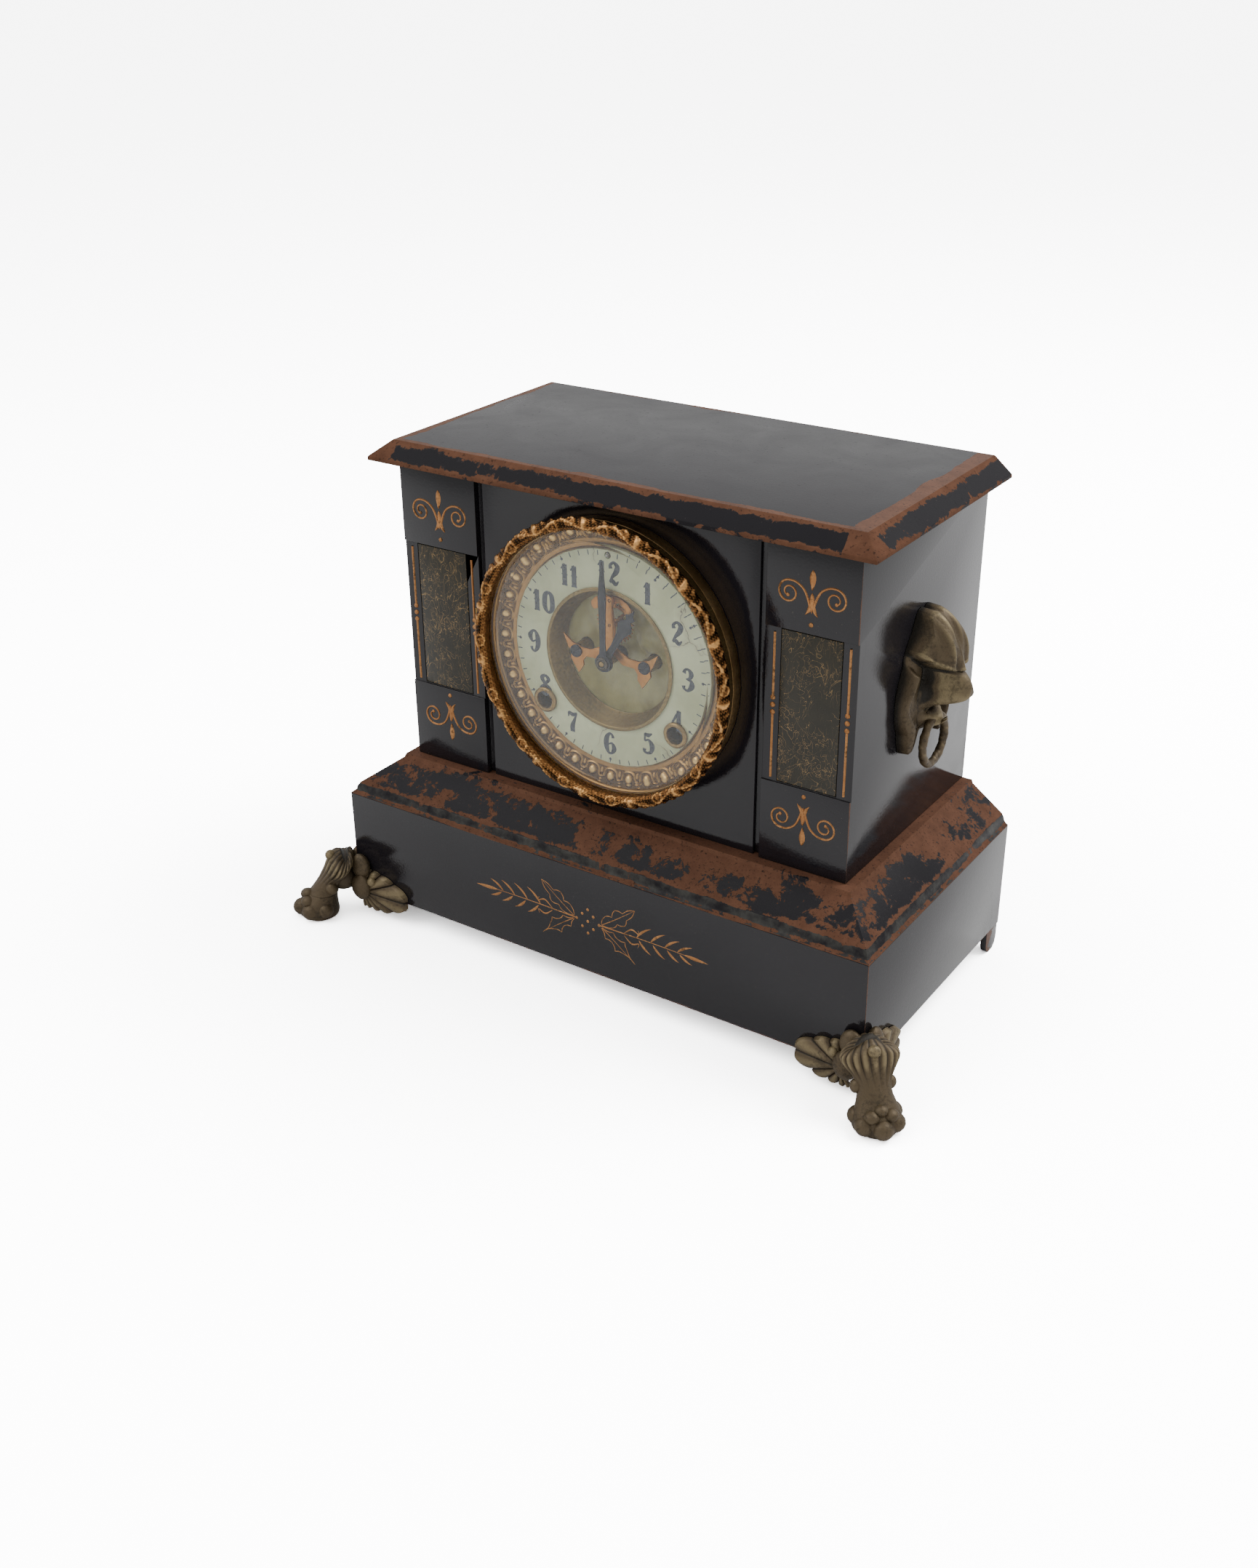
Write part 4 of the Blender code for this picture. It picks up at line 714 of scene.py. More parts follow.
    def barrel(self, x: float, y: float, ends: Sequence[Point], sides: int = 20) -> None:
        """Add an upright hinge barrel.

        Args:
            x, y: Its axis.
            ends: (radius, z) from the bottom to the top.
            sides: Steps round it.
        """
        self.grid([[(x + r * cos(2 * pi * k / sides), y + r * sin(2 * pi * k / sides), z)
                    for k in range(sides)] for r, z in ends], wrap=True, loop=True)

    def mirrored(self) -> "Shape":
        """Mirror image across the middle of the clock."""
        return Shape([(-x, y, z) for x, y, z in self.verts],
                     [tuple(reversed(f)) for f in self.faces], list(self.relief))

    def join(self, other: "Shape") -> "Shape":
        """Append another shape."""
        self.add(other.verts, other.faces, other.relief)
        return self

    def mesh(self, name: str) -> bpy.types.Mesh:
        """Raw mesh in row-frame metres with its relief attribute."""
        mesh = bpy.data.meshes.new(name)
        mesh.from_pydata([mm(*v) for v in self.verts], [], self.faces)
        mesh.attributes.new("relief", "FLOAT", "POINT").data.foreach_set("value", self.relief)
        return mesh

    def piece(self, name: str, finish: Finish, body: str = "case", replaces: Sequence[str] = (),
              sharp: float = 40.0, front: bool = False) -> bpy.types.Object:
        """Make a finished object of this shape.

        Args:
            name: Name of the object.
            finish: Its finish.
            body: Body that it rides on.
            replaces: CAD nodes that it stands for.
            sharp: Angle in degrees above which an edge stays sharp.
            front: True for an open sheet that faces the front.

        Returns:
            The object.
        """
        mesh = self.mesh(name)
        welded(mesh, front)
        return present(bpy.data.objects.new(name, mesh), finish, body, replaces, sharp)

    def round_dial(self, name: str, finish: Finish, count: int, sharp: float = 40.0) -> bpy.types.Object:
        """Copies of this shape set evenly round the dial's middle, as one finished piece.

        Args:
            name: Name of the object.
            finish: Its finish.
            count: Number of copies in a full turn.
            sharp: Angle in degrees above which an edge stays sharp.

        Returns:
            The object, which rides on the case.
        """
        piece = bpy.data.objects.new(name, self.mesh(name))
        bpy.context.scene.collection.objects.link(piece)
        modifier = piece.modifiers.new("copies", "NODES")
        modifier.node_group = copies_round_axis()
        values = {"Count": count, "Centre": mm(DIAL[0], 0.0, DIAL[1]), "Material": finish.material()}
        for socket in modifier.node_group.interface.items_tree:
            if socket.in_out == "INPUT" and socket.name in values:
                modifier[socket.identifier] = values[socket.name]
        welded(baked(piece), True)
        return present(piece, finish, "case", (), sharp)


def copies_round_axis() -> Tree:
    """Geometry Nodes tree that sets copies of a mesh evenly round a y axis."""
    name = "copies round an axis"
    if name in bpy.data.node_groups:
        return bpy.data.node_groups[name]
    tree = bpy.data.node_groups.new(name, "GeometryNodeTree")
    add_sockets(tree, {"Geometry": "Geometry", "Count": "Int", "Centre": "Vector",
                       "Material": "Material"}, {"Geometry": "Geometry"})
    given = tree.nodes.new("NodeGroupInput").outputs

    def add(kind: str, inputs: dict, operation: str = "") -> Socket:
        """Add a node and return its first output."""
        made = tree.nodes.new(kind)
        if operation:
            made.operation = operation
        feed(tree, made, inputs)
        return made.outputs[0]

    away = add("ShaderNodeVectorMath", {0: given["Centre"], "Scale": -1.0}, "SCALE")
    cell = add("GeometryNodeTransform", {"Geometry": given["Geometry"], "Translation": away})
    points = add("GeometryNodePoints", {"Count": given["Count"], "Position": given["Centre"]})
    step = add("ShaderNodeMath", {0: 2 * pi, 1: given["Count"]}, "DIVIDE")
    turn = add("ShaderNodeMath", {0: add("GeometryNodeInputIndex", {}), 1: step}, "MULTIPLY")
    copies = add("GeometryNodeInstanceOnPoints", {"Points": points, "Instance": cell,
                                                  "Rotation": add("ShaderNodeCombineXYZ", {"Y": turn})})
    real = add("GeometryNodeRealizeInstances", {"Geometry": copies})
    dressed = add("GeometryNodeSetMaterial", {"Geometry": real, "Material": given["Material"]})
    tree.links.new(dressed, tree.nodes.new("NodeGroupOutput").inputs["Geometry"])
    return tree


def baked(piece: bpy.types.Object) -> bpy.types.Mesh:
    """Apply a piece's modifiers, then take the piece out of the scene again.

    Args:
        piece: A linked object with modifiers.

    Returns:
        The piece's new mesh.
    """
    seen = piece.evaluated_get(bpy.context.evaluated_depsgraph_get())
    mesh = bpy.data.meshes.new_from_object(seen)
    piece.modifiers.clear()
    piece.data = mesh
    bpy.context.scene.collection.objects.unlink(piece)
    return mesh


def welded(mesh: bpy.types.Mesh, front: bool) -> None:
    """Join a mesh's touching faces and turn its normals outward.

    Args:
        mesh: The mesh to change.
        front: True for an open sheet whose every face looks to the front.
    """
    bm = bmesh.new()
    bm.from_mesh(mesh)
    bmesh.ops.remove_doubles(bm, verts=bm.verts, dist=WELD)
    bmesh.ops.recalc_face_normals(bm, faces=bm.faces)
    if front:
        bm.normal_update()
        bmesh.ops.reverse_faces(bm, faces=[face for face in bm.faces if face.normal.y > 0])
    bm.to_mesh(mesh)
    bm.free()


def present(piece: bpy.types.Object, finish: Finish, body: str, replaces: Sequence[str] = (),
            sharp: float = 40.0) -> bpy.types.Object:
    """Link, dress and attach a finished piece.

    Args:
        piece: The object.
        finish: Its finish.
        body: Body that it rides on.
        replaces: CAD nodes that it stands for.
        sharp: Angle in degrees above which an edge stays sharp.

    Returns:
        The same object.
    """
    bpy.context.scene.collection.objects.link(piece)
    piece.data.materials.clear()
    piece.data.materials.append(finish.material())
    piece.data.shade_smooth()
    piece.data.set_sharp_from_angle(angle=radians(sharp))
    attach(piece, body)
    if replaces:
        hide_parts(*replaces)
    LOG.info("%s: %d faces", piece.name, len(piece.data.polygons))
    return piece


def softened(node: str, finish: Finish, body: str = "case", width: float = 0.35,
             segments: int = 2) -> bpy.types.Object:
    """Copy a CAD node with its hard edges rounded, to stand for that node.

    Args:
        node: Name of the node.
        finish: Finish of the copy.
        body: Body that it rides on.
        width: Width of the rounding in millimetres.
        segments: Steps across the rounding.

    Returns:
        The rounded object.
    """
    mesh = frame["nodes"][node].data.copy()
    bm = bmesh.new()
    bm.from_mesh(mesh)
    bmesh.ops.remove_doubles(bm, verts=bm.verts, dist=WELD)
    bmesh.ops.dissolve_limit(bm, angle_limit=radians(0.6), verts=bm.verts, edges=bm.edges)
    bm.to_mesh(mesh)
    bm.free()
    piece = bpy.data.objects.new(node + "_finished", mesh)
    bpy.context.scene.collection.objects.link(piece)
    bevel = piece.modifiers.new("round", "BEVEL")
    bevel.width = width / 1000
    bevel.segments = segments
    bevel.limit_method = "ANGLE"
    bevel.angle_limit = radians(32)
    bevel.harden_normals = False
    baked(piece)
    return present(piece, finish, body, (node,), 34.0)


# ---- case --------------------------------------------------------------------------------------
@dataclass
class Case:
    """Iron case: plinth, body, lid and marble panels with gilded engraving."""

    fleur_x: float = 114.0
    fleur_z: tuple[float, float] = (129.5, 251.5)
    rod_x: tuple[float, float] = (94.0, 135.5)
    line: float = 0.62
    face: float = 0.05              # plane of the engraved fleurs
    rod_face: float = 1.05          # plane of the rods beside the marble
    plinth_face: float = -29.45
    sprig_z: float = 47.5

    def castings(self) -> None:
        """The castings with rounded edges."""
        softened("base_plinth", Finishes.plinth, width=0.7, segments=3)
        softened("case_body", Finishes.case, width=0.4)
        softened("case_lid", Finishes.lid, width=0.5, segments=3)
        softened("case_back", Finishes.case, width=0.3)
        for side in ("left", "right"):
            softened("marble_panel_" + side, Finishes.marble, width=0.3)

    def scroll(self, shape: Shape, x: float, z: float, side: int, up: int) -> None:
        """Spiral scroll with its stem.

        Args:
            shape: Mesh to add to.
            x, z: Middle of the ornament.
            side: 1 for the right scroll, -1 for the left.
            up: 1 where the stem rises into the scroll, -1 where it falls.
        """
        path = [(1.0, -7.6, 0.35), (1.7, -3.2, 0.7), (4.4, 2.6, self.line), (8.6, 5.6, self.line)]
        for k in range(19):
            angle = 2 * pi * 1.45 * k / 18
            radius = 6.1 - 4.4 * k / 18
            path.append((12.6 + radius * sin(angle), radius * cos(angle), self.line * (1 - 0.3 * k / 18)))
        path = [(x + side * px, z + up * pz, half) for px, pz, half in path]
        shape.ribbon(smooth(path, 4), self.face, 0.55)
        end = path[-1]
        shape.dot(end[0], end[1], 1.0, self.face, 0.7)

    def fleur(self, shape: Shape, x: float, z: float, up: int) -> None:
        """Fleur ornament with two scrolls, leaves, drops and a stud.

        Args:
            shape: Mesh to add to.
            x, z: Middle of the ornament.
            up: 1 for upright, -1 for upside down.
        """
        for side in (-1, 1):
            self.scroll(shape, x, z, side, up)
            shape.leaf((x + side * 0.5, z - up * 2.5), (x + side * 3.6, z - up * 10.0), 1.15,
                       self.face, 0.7, -0.12 * side * up)
        shape.leaf((x, z + up * 13.4), (x, z + up * 2.8), 1.75, self.face, 0.8)
        shape.leaf((x, z + up * 1.8), (x, z - up * 8.8), 1.35, self.face, 0.75)
        shape.dot(x, z - up * 14.6, 1.25, self.face, 0.8)

    def rods(self, shape: Shape) -> None:
        """Beaded rods beside the marble panels."""
        for x in self.rod_x:
            for z0, z1, bead in ((194.0, 229.0, 194.0), (150.0, 186.0, 186.0)):
                path = [(x, z0 + (z1 - z0) * k / 10, 0.72) for k in range(11)]
                shape.ribbon(path, self.rod_face, 0.6)
                shape.dot(x, bead, 1.45, self.rod_face, 1.0)
            shape.dot(x, 190.0, 1.5, self.rod_face, 1.1)

    def sprig(self) -> None:
        """Holly sprig engraved on the plinth."""
        shape, half, y, z = Shape(), Shape(), self.plinth_face, self.sprig_z
        half.ribbon([(8 + 62 * k / 20, z + 0.5 * sin(k / 20 * pi), 0.42 - 0.012 * k)
                     for k in range(21)], y, 0.28)
        half.leaf((62, z + 0.2), (77.5, z - 0.4), 1.1, y, 0.35)
        for x, up in ((32, 7.5), (41, 7.0), (50, 6.0), (58, 4.6)):
            half.leaf((x, z + 0.4), (x + 9.5, z + up + 1.5), 0.75, y, 0.3, 0.08)
            half.leaf((x + 1.5, z - 0.4), (x + 9.5, z - up), 0.8, y, 0.3, -0.08)
        for s in (-1, 1):
            tip = (31.0, z + s * 17.0)
            edge = [(9.0, z + s * 1.0), (11.5, z + s * 7.0), (16.0, z + s * 8.0), (18.0, z + s * 13.0),
                    (23.0, z + s * 12.6), tip, (25.5, z + s * 9.0), (24.5, z + s * 5.2),
                    (19.5, z + s * 4.6), (17.0, z + s * 1.6), (9.5, z + s * 0.8)]
            for a, b in zip(edge, edge[1:]):
                mid = ((a[0] + b[0]) / 2 - 0.1 * (b[1] - a[1]), (a[1] + b[1]) / 2 + 0.1 * (b[0] - a[0]))
                half.ribbon(smooth([(*a, 0.2), (*mid, 0.34), (*b, 0.2)], 4), y, 0.25)
            half.ribbon(smooth([(9.5, z + s, 0.3), (18, z + s * 7.0, 0.28), (*tip, 0.12)], 6), y, 0.25)
            half.ribbon(smooth([(24, z + s * 0.8, 0.2), (29, z + s * 4.5, 0.55), (33.5, z + s * 3.0, 0.3),
                                (33.0, z + s * 5.4, 0.15)], 6), y, 0.28)
        shape.join(half).join(half.mirrored())
        for x, dz in ((0, 0), (-7.5, 0), (7.5, 0), (0, 7.5), (0, -7.5), (3.7, 4), (-3.7, 4), (3.7, -4),
                      (-3.7, -4)):
            shape.dot(x, z + dz, 0.95, y, 0.4)
        shape.piece("plinth_sprig", Finishes.gilt_line, front=True)

    def build(self) -> None:
        """Make the case and its engraving."""
        self.castings()
        engraving = Shape()
        low, high = self.fleur_z
        self.fleur(engraving, self.fleur_x, high, 1)
        self.fleur(engraving, self.fleur_x, low, -1)
        self.rods(engraving)
        engraving.join(engraving.mirrored())
        engraving.piece("pilaster_engraving", Finishes.gilt_line, front=True)
        self.sprig()


# ---- dial --------------------------------------------------------------------------------------
DIGITS: dict[str, list[list[Point]]] = {
    "0": [[(.3, 1, .05), (.1, .78, .1), (.08, .24, .1), (.3, 0, .05), (.52, .24, .1), (.5, .78, .1),
           (.3, 1, .05)], [(-.02, .5, .01), (.1, .5, .06), (.2, .5, .01)],
          [(.4, .5, .01), (.5, .5, .06), (.62, .5, .01)]],
    "1": [[(.3, .02, .1), (.3, .98, .1)], [(.08, .74, .02), (.2, .84, .05), (.3, 1, .03)],
          [(.12, .5, .01), (.3, .5, .07), (.48, .5, .01)], [(.14, 0, .03), (.3, .04, .05), (.46, 0, .03)]],
    "2": [[(.12, .7, .08), (.1, .86, .06), (.3, 1, .05), (.5, .84, .1), (.44, .6, .1), (.22, .34, .06),
           (.06, .08, .03)], [(.06, .08, .04), (.22, .14, .08), (.4, .02, .07), (.58, .18, .02)]],
    "3": [[(.1, .8, .08), (.16, .96, .05), (.34, 1, .05), (.5, .82, .1), (.42, .6, .06), (.22, .54, .02)],
          [(.24, .54, .03), (.48, .48, .06), (.54, .24, .11), (.32, 0, .05), (.12, .06, .05),
           (.08, .2, .08)]],
    "4": [[(.42, 0, .09), (.42, .98, .09)], [(.42, 1, .03), (.24, .66, .05), (.02, .3, .03)],
          [(.0, .3, .04), (.3, .3, .055), (.62, .32, .02)], [(.28, 0, .02), (.42, .03, .05), (.56, 0, .02)]],
    "5": [[(.12, .96, .04), (.12, .58, .04)], [(.1, .96, .04), (.3, .9, .08), (.54, 1.02, .02)],
          [(.12, .58, .03), (.34, .66, .05), (.54, .42, .11), (.48, .1, .07), (.26, 0, .05),
           (.1, .06, .06), (.1, .2, .08)]],
    "6": [[(.48, .8, .07), (.44, .94, .05), (.28, 1, .05), (.1, .74, .1), (.08, .34, .11), (.2, .04, .06),
           (.38, .02, .05), (.54, .26, .1), (.42, .52, .05), (.18, .44, .02)]],
    "7": [[(.04, .74, .02), (.08, .94, .06), (.3, .88, .08), (.56, 1, .03)],
          [(.55, 1, .03), (.4, .62, .06), (.28, .3, .1), (.28, 0, .1)]],
    "8": [[(.3, 1, .05), (.1, .82, .09), (.28, .55, .07), (.54, .26, .11), (.3, 0, .05), (.06, .24, .1),
           (.3, .55, .05), (.5, .8, .08), (.3, 1, .05)]],
}
DIGITS["9"] = [[(0.6 - x, 1 - z, w) for x, z, w in stroke] for stroke in DIGITS["6"]]


@dataclass
class Dial:
    """Enamel ring with fired numerals, pressed brass ring, well and centre."""

    numeral_radius: float = 48.2
    numeral_height: float = 11.6
    weight: float = 1.5
    face: float = -4.42
    eggs: int = 36

    def numerals(self) -> None:
        """Numerals from 1 to 12."""
        shape, tall = Shape(), self.numeral_height
        for hour in range(1, 13):
            text = str(hour)
            pitch = 0.56 if text == "11" else 0.7
            cx, cz = polar(DIAL, self.numeral_radius, radians(30 * hour))
            for i, digit in enumerate(text):
                shift = (i - (len(text) - 1) / 2) * pitch - 0.3
                for stroke in DIGITS[digit]:
                    path = [(cx + (x + shift) * tall * 0.92, cz + (z - 0.5) * tall,
                             w * tall * 0.86 * self.weight) for x, z, w in stroke]
                    shape.ribbon(smooth(path, 7), self.face, 0.05, 3)
        shape.piece("dial_numerals", Finishes.ink, front=True)

    def marks(self) -> None:
        """Minute ticks and the five-minute lozenges."""
        x, z = DIAL
        tick, lozenge = Shape(), Shape()
        tick.ribbon([(x, z + 56.6, 0.27), (x, z + 59.3, 0.27)], self.face, 0.05, 3)
        lozenge.leaf((x - 0.85, z + 57.4), (x + 0.85, z + 57.4), 0.85, self.face, 0.06)
        tick.round_dial("minute_ticks", Finishes.ink, 60)
        lozenge.round_dial("hour_lozenges", Finishes.ink, 12)

    def pressed_ring(self) -> None:
        """Egg-and-dart ring round the enamel, laid over the pan."""
        cell, rows, marks = Shape(), [], []
        inner, wide, steps = 61.0, 12.7, 24
        for k in range(steps + 1):
            share = k / steps - 0.5
            angle = 2 * pi * share / self.eggs
            gap = 0.5 - abs(share)
            row, mark = [], []
            for i in range(49):
                v = i / 48
                arch = hypot(share / 0.35, max(0.0, 0.42 - v) / 0.22) - 1
                loop = hypot(gap / 0.14, max(0.0, v - 0.56) / 0.07) - 1
                line = exp(-(arch / 0.13) ** 2) if v < 0.5 else exp(-(loop / 0.3) ** 2)
                egg = max(0.0, 1 - (share / 0.19) ** 2 - ((v - 0.53) / 0.2) ** 2)
                dart = max(0.0, 1 - (gap / 0.07) ** 2 - ((v - 0.38) / 0.13) ** 2)
                bead = max(0.0, 1 - (gap / 0.06) ** 2 - ((v - 0.76) / 0.05) ** 2)
                band = 0.45 / (1 + exp((v - 0.17) / 0.012)) + 0.5 * exp(-((v - 0.91) / 0.05) ** 2)
                lift = 1.3 * sqrt(egg) + 0.75 * line + 0.8 * sqrt(dart) + 0.5 * sqrt(bead) + band
                x, z = polar(DIAL, inner + wide * v, angle)
                row.append((x, -2.74 - 3.43 * v - lift, z))
                # Painted light: raised eggs, darts, beads and lines get painted highlights, the low ground
                # painted shade.
                mark.append(min(1.0, 0.12 + 0.85 * lift))
            rows.append(row)
            marks.append(mark)
        cell.grid(rows, relief=marks)
        cell.round_dial("pressed_ring", Finishes.pressed, self.eggs)
        softened("dial_pan", Finishes.pressed_plain, width=0.25)

    def enamel(self) -> None:
        """Domed chapter ring, well and centre dial."""
        softened("chapter_ring", Finishes.dial, width=0.3, segments=3)
        well = Shape()
        well.turned([(37.15, -5.1), (37.6, -5.6), (38.8, -5.7), (39.4, -5.3), (39.4, -4.75),
                     (38.2, -4.7), (35.3, 5.2), (35.3, 6.4), (33.6, 6.4), (33.4, 5.7), (33.9, 5.2)], 144)
        well.piece("well_brass", Finishes.well, replaces=("dial_well",))
        softened("centre_dial", Finishes.centre, width=0.08)

    def collars(self) -> None:
        """Brass rings round the winding holes."""
        for side, x in (("left", -41.5), ("right", 41.5)):
            collar = Shape()
            collar.turned([(4.6, -5.2), (5.0, -6.0), (6.2, -6.2), (7.0, -5.7), (7.1, -4.72), (5.9, -4.7),
                           (5.9, 3.0), (4.6, 3.0)], 56, (x, DIAL[1] - 32.4))
            collar.piece("winding_ring_" + side, Finishes.brass,
                         replaces=("winding_collar_" + side,))

    def screws(self) -> None:
        """Blued screws that hold the escapement bridge."""
        for side, x in (("left", -21.4), ("right", 21.4)):
            rows, centre = [], (x, DIAL[1])
            for radius, y in ((3.5, -3.45), (3.5, -4.2), (3.1, -4.6), (0.01, -4.75)):
                row = []
                for k in range(40):
                    px, pz = polar(centre, radius, 2 * pi * k / 40)
                    slot = 0.55 if abs((px - x) * 0.5 - (pz - DIAL[1]) * 0.866) < 0.42 and y < -4.3 else 0.0
                    row.append((px, y + slot, pz))
                rows.append(row)
            head = Shape()
            head.grid(rows, wrap=True)
            head.piece("bridge_screw_" + side, Finishes.blued)

    def build(self) -> None:
        """Make the dial."""
        self.pressed_ring()
        self.enamel()
        self.numerals()
        self.marks()
        self.collars()
        self.screws()


@dataclass
class Door:
    """Bezel door: brass flange, rococo rim and bevelled glass."""

    motifs: int = 15
    steps: int = 88

    def flange(self) -> None:
        """Turned flange with the hinge strap."""
        shape = Shape()
        shape.turned([(73.9, -6.3), (75.3, -6.35), (75.3, -13.6), (74.9, -14.2), (74.1, -14.2),
                      (74.1, -12.2), (71.8, -12.2), (71.8, -11.2), (73.9, -11.2)], 160)
        low, high = (-84.0, -7.5, 188.6), (-74.6, -6.5, 200.4)
        corners = [(x, y, z) for x in (low[0], high[0]) for y in (low[1], high[1])
                   for z in (low[2], high[2])]
        shape.add(corners, [(0, 1, 3, 2), (4, 6, 7, 5), (0, 4, 5, 1), (2, 3, 7, 6), (0, 2, 6, 4),
                            (1, 5, 7, 3)])
        shape.barrel(-84, -6.5, ((1.3, 188.3), (2.2, 188.4), (2.2, 200.6), (1.3, 200.7)))
        shape.piece("bezel_band", Finishes.brass, "door", ("bezel_flange",), 30)

    def rim(self) -> None:
        """Cast rim of leaves and scrolls."""
        section = [(72.3, -13.4), (72.2, -15.2), (72.7, -17.0), (73.6, -18.2), (74.8, -18.9), (76.0, -18.9),
                   (77.2, -18.4), (78.2, -17.4), (78.8, -16.2), (78.6, -14.9), (77.6, -13.8), (75.8, -13.0)]
        fine = smooth([*section, section[0]], 4)[:-1]
        count, pitch = len(fine), 2 * pi * 76 / self.motifs

        def carve(angle: float, index: int) -> tuple[float, float]:
            """Radial and forward relief at an angle and a point of the section."""
            turn = angle * self.motifs / (2 * pi)
            u, v = turn % 1.0, index / count * 12
            a, c = u * pitch, v * 1.55
            flip = 1.0 if int(turn) % 2 else 0.8
            stem = exp(-((c - 8.2 - 2.6 * sin(2 * pi * u - 0.7)) / 0.95) ** 2)
            first = hypot(a - 7.0, c - 6.4)
            second = hypot(a - 18.0, c - 9.8)
            curls = (exp(-((first - 3.1) / 0.75) ** 2) + exp(-(first / 1.2) ** 2)
                     + flip * exp(-((second - 2.5) / 0.7) ** 2) + flip * exp(-(second / 1.0) ** 2))
            shell = exp(-((a - 26.5) / 3.2) ** 2 - ((c - 8.5) / 4.0) ** 2)
            shell *= 0.9 + 0.55 * cos(7 * atan2(a - 26.5, c - 2.0))
            leaves = max(0.0, sin(2 * pi * (5 * u + 0.11 * c))) ** 0.7 * exp(-((c - 12.4) / 2.0) ** 2)
            inner = max(0.0, sin(2 * pi * (9 * u - 0.2 * c))) * exp(-((c - 3.4) / 1.0) ** 2)
            total = 0.75 * stem + 0.7 * curls + 0.9 * shell + 0.8 * leaves + 0.5 * inner - 0.2
            total += 0.26 * sin(58 * u + 2.6 * c) * sin(37 * u - 1.7 * c) + 0.12 * sin(120 * u - 3.0 * c)
            total = min(total, 1.0) * min(1.0, max(0.15, (v - 0.8) / 2))
            total *= min(1.0, max(0.0, (11.5 - v) / 1.5))
            facing = pi - (v - 1) / 3.5 * pi / 2
            return total * (1.0 if v > 9 else 0.85) * cos(facing), total * 0.85 * sin(facing)

        shape, sides = Shape(), self.motifs * self.steps
        shape.turned(fine, sides, raise_by=carve)
        # Painted light: raised carving gets painted highlights and its hollows painted shade; the inner face
        # of the section is given a lighter base.
        shape.relief = []
        for k in range(sides):
            for i in range(count):
                out, lift = carve(2 * pi * k / sides, i)
                facing = pi - (i / count * 12 - 1) / 3.5 * pi / 2
                raised = out * cos(facing) + lift * sin(facing)
                shape.relief.append(min(1.0, max(0.0, (0.24 if i / count > 0.3 else 0.5) + 0.9 * raised)))
        shape.piece("rococo_rim", Finishes.gilt, "door", ("bezel_casting",), 60)

    def glass(self) -> None:
        """Bevelled glass disc."""
        rows = []
        for radius, y in ((0.01, -12.5), (60.0, -12.5), (73.4, -12.5), (73.6, -12.8), (73.5, -13.4),
                          (66.4, -15.05), (66.0, -15.1), (30.0, -15.1), (0.01, -15.1)):
            ring = [polar(DIAL, radius, 2 * pi * k / 144) for k in range(144)]
            rows.append([(x, y, z) for x, z in ring])
        shape = Shape()
        shape.grid(rows, wrap=True)
        shape.piece("bevelled_glass", Finishes.glass, "door", ("bezel_glass",), 4)

    def build(self) -> None:
        """Make the door."""
        self.flange()
        self.rim()
        self.glass()
        softened("bezel_hinge", Finishes.brass, width=0.15)


# ---- cast ornaments ----------------------------------------------------------------------------
def dome(y: float, z: float, cy: float, cz: float, ry: float, rz: float, height: float) -> float:
    """Half ellipsoid standing on a plane.

    Args:
        y, z: Place on the plane.
        cy, cz: Its middle.
        ry, rz: Its half sizes.
        height: Its height.

    Returns:
        Its height at the place.
    """
    inside = 1 - ((y - cy) / ry) ** 2 - ((z - cz) / rz) ** 2
    return height * sqrt(inside) if inside > 0 else 0.0


def bump(y: float, z: float, cy: float, cz: float, ry: float, rz: float, height: float) -> float:
    """Soft swelling, with the same arguments as dome."""
    return height * exp(-((y - cy) / ry) ** 2 - ((z - cz) / rz) ** 2)


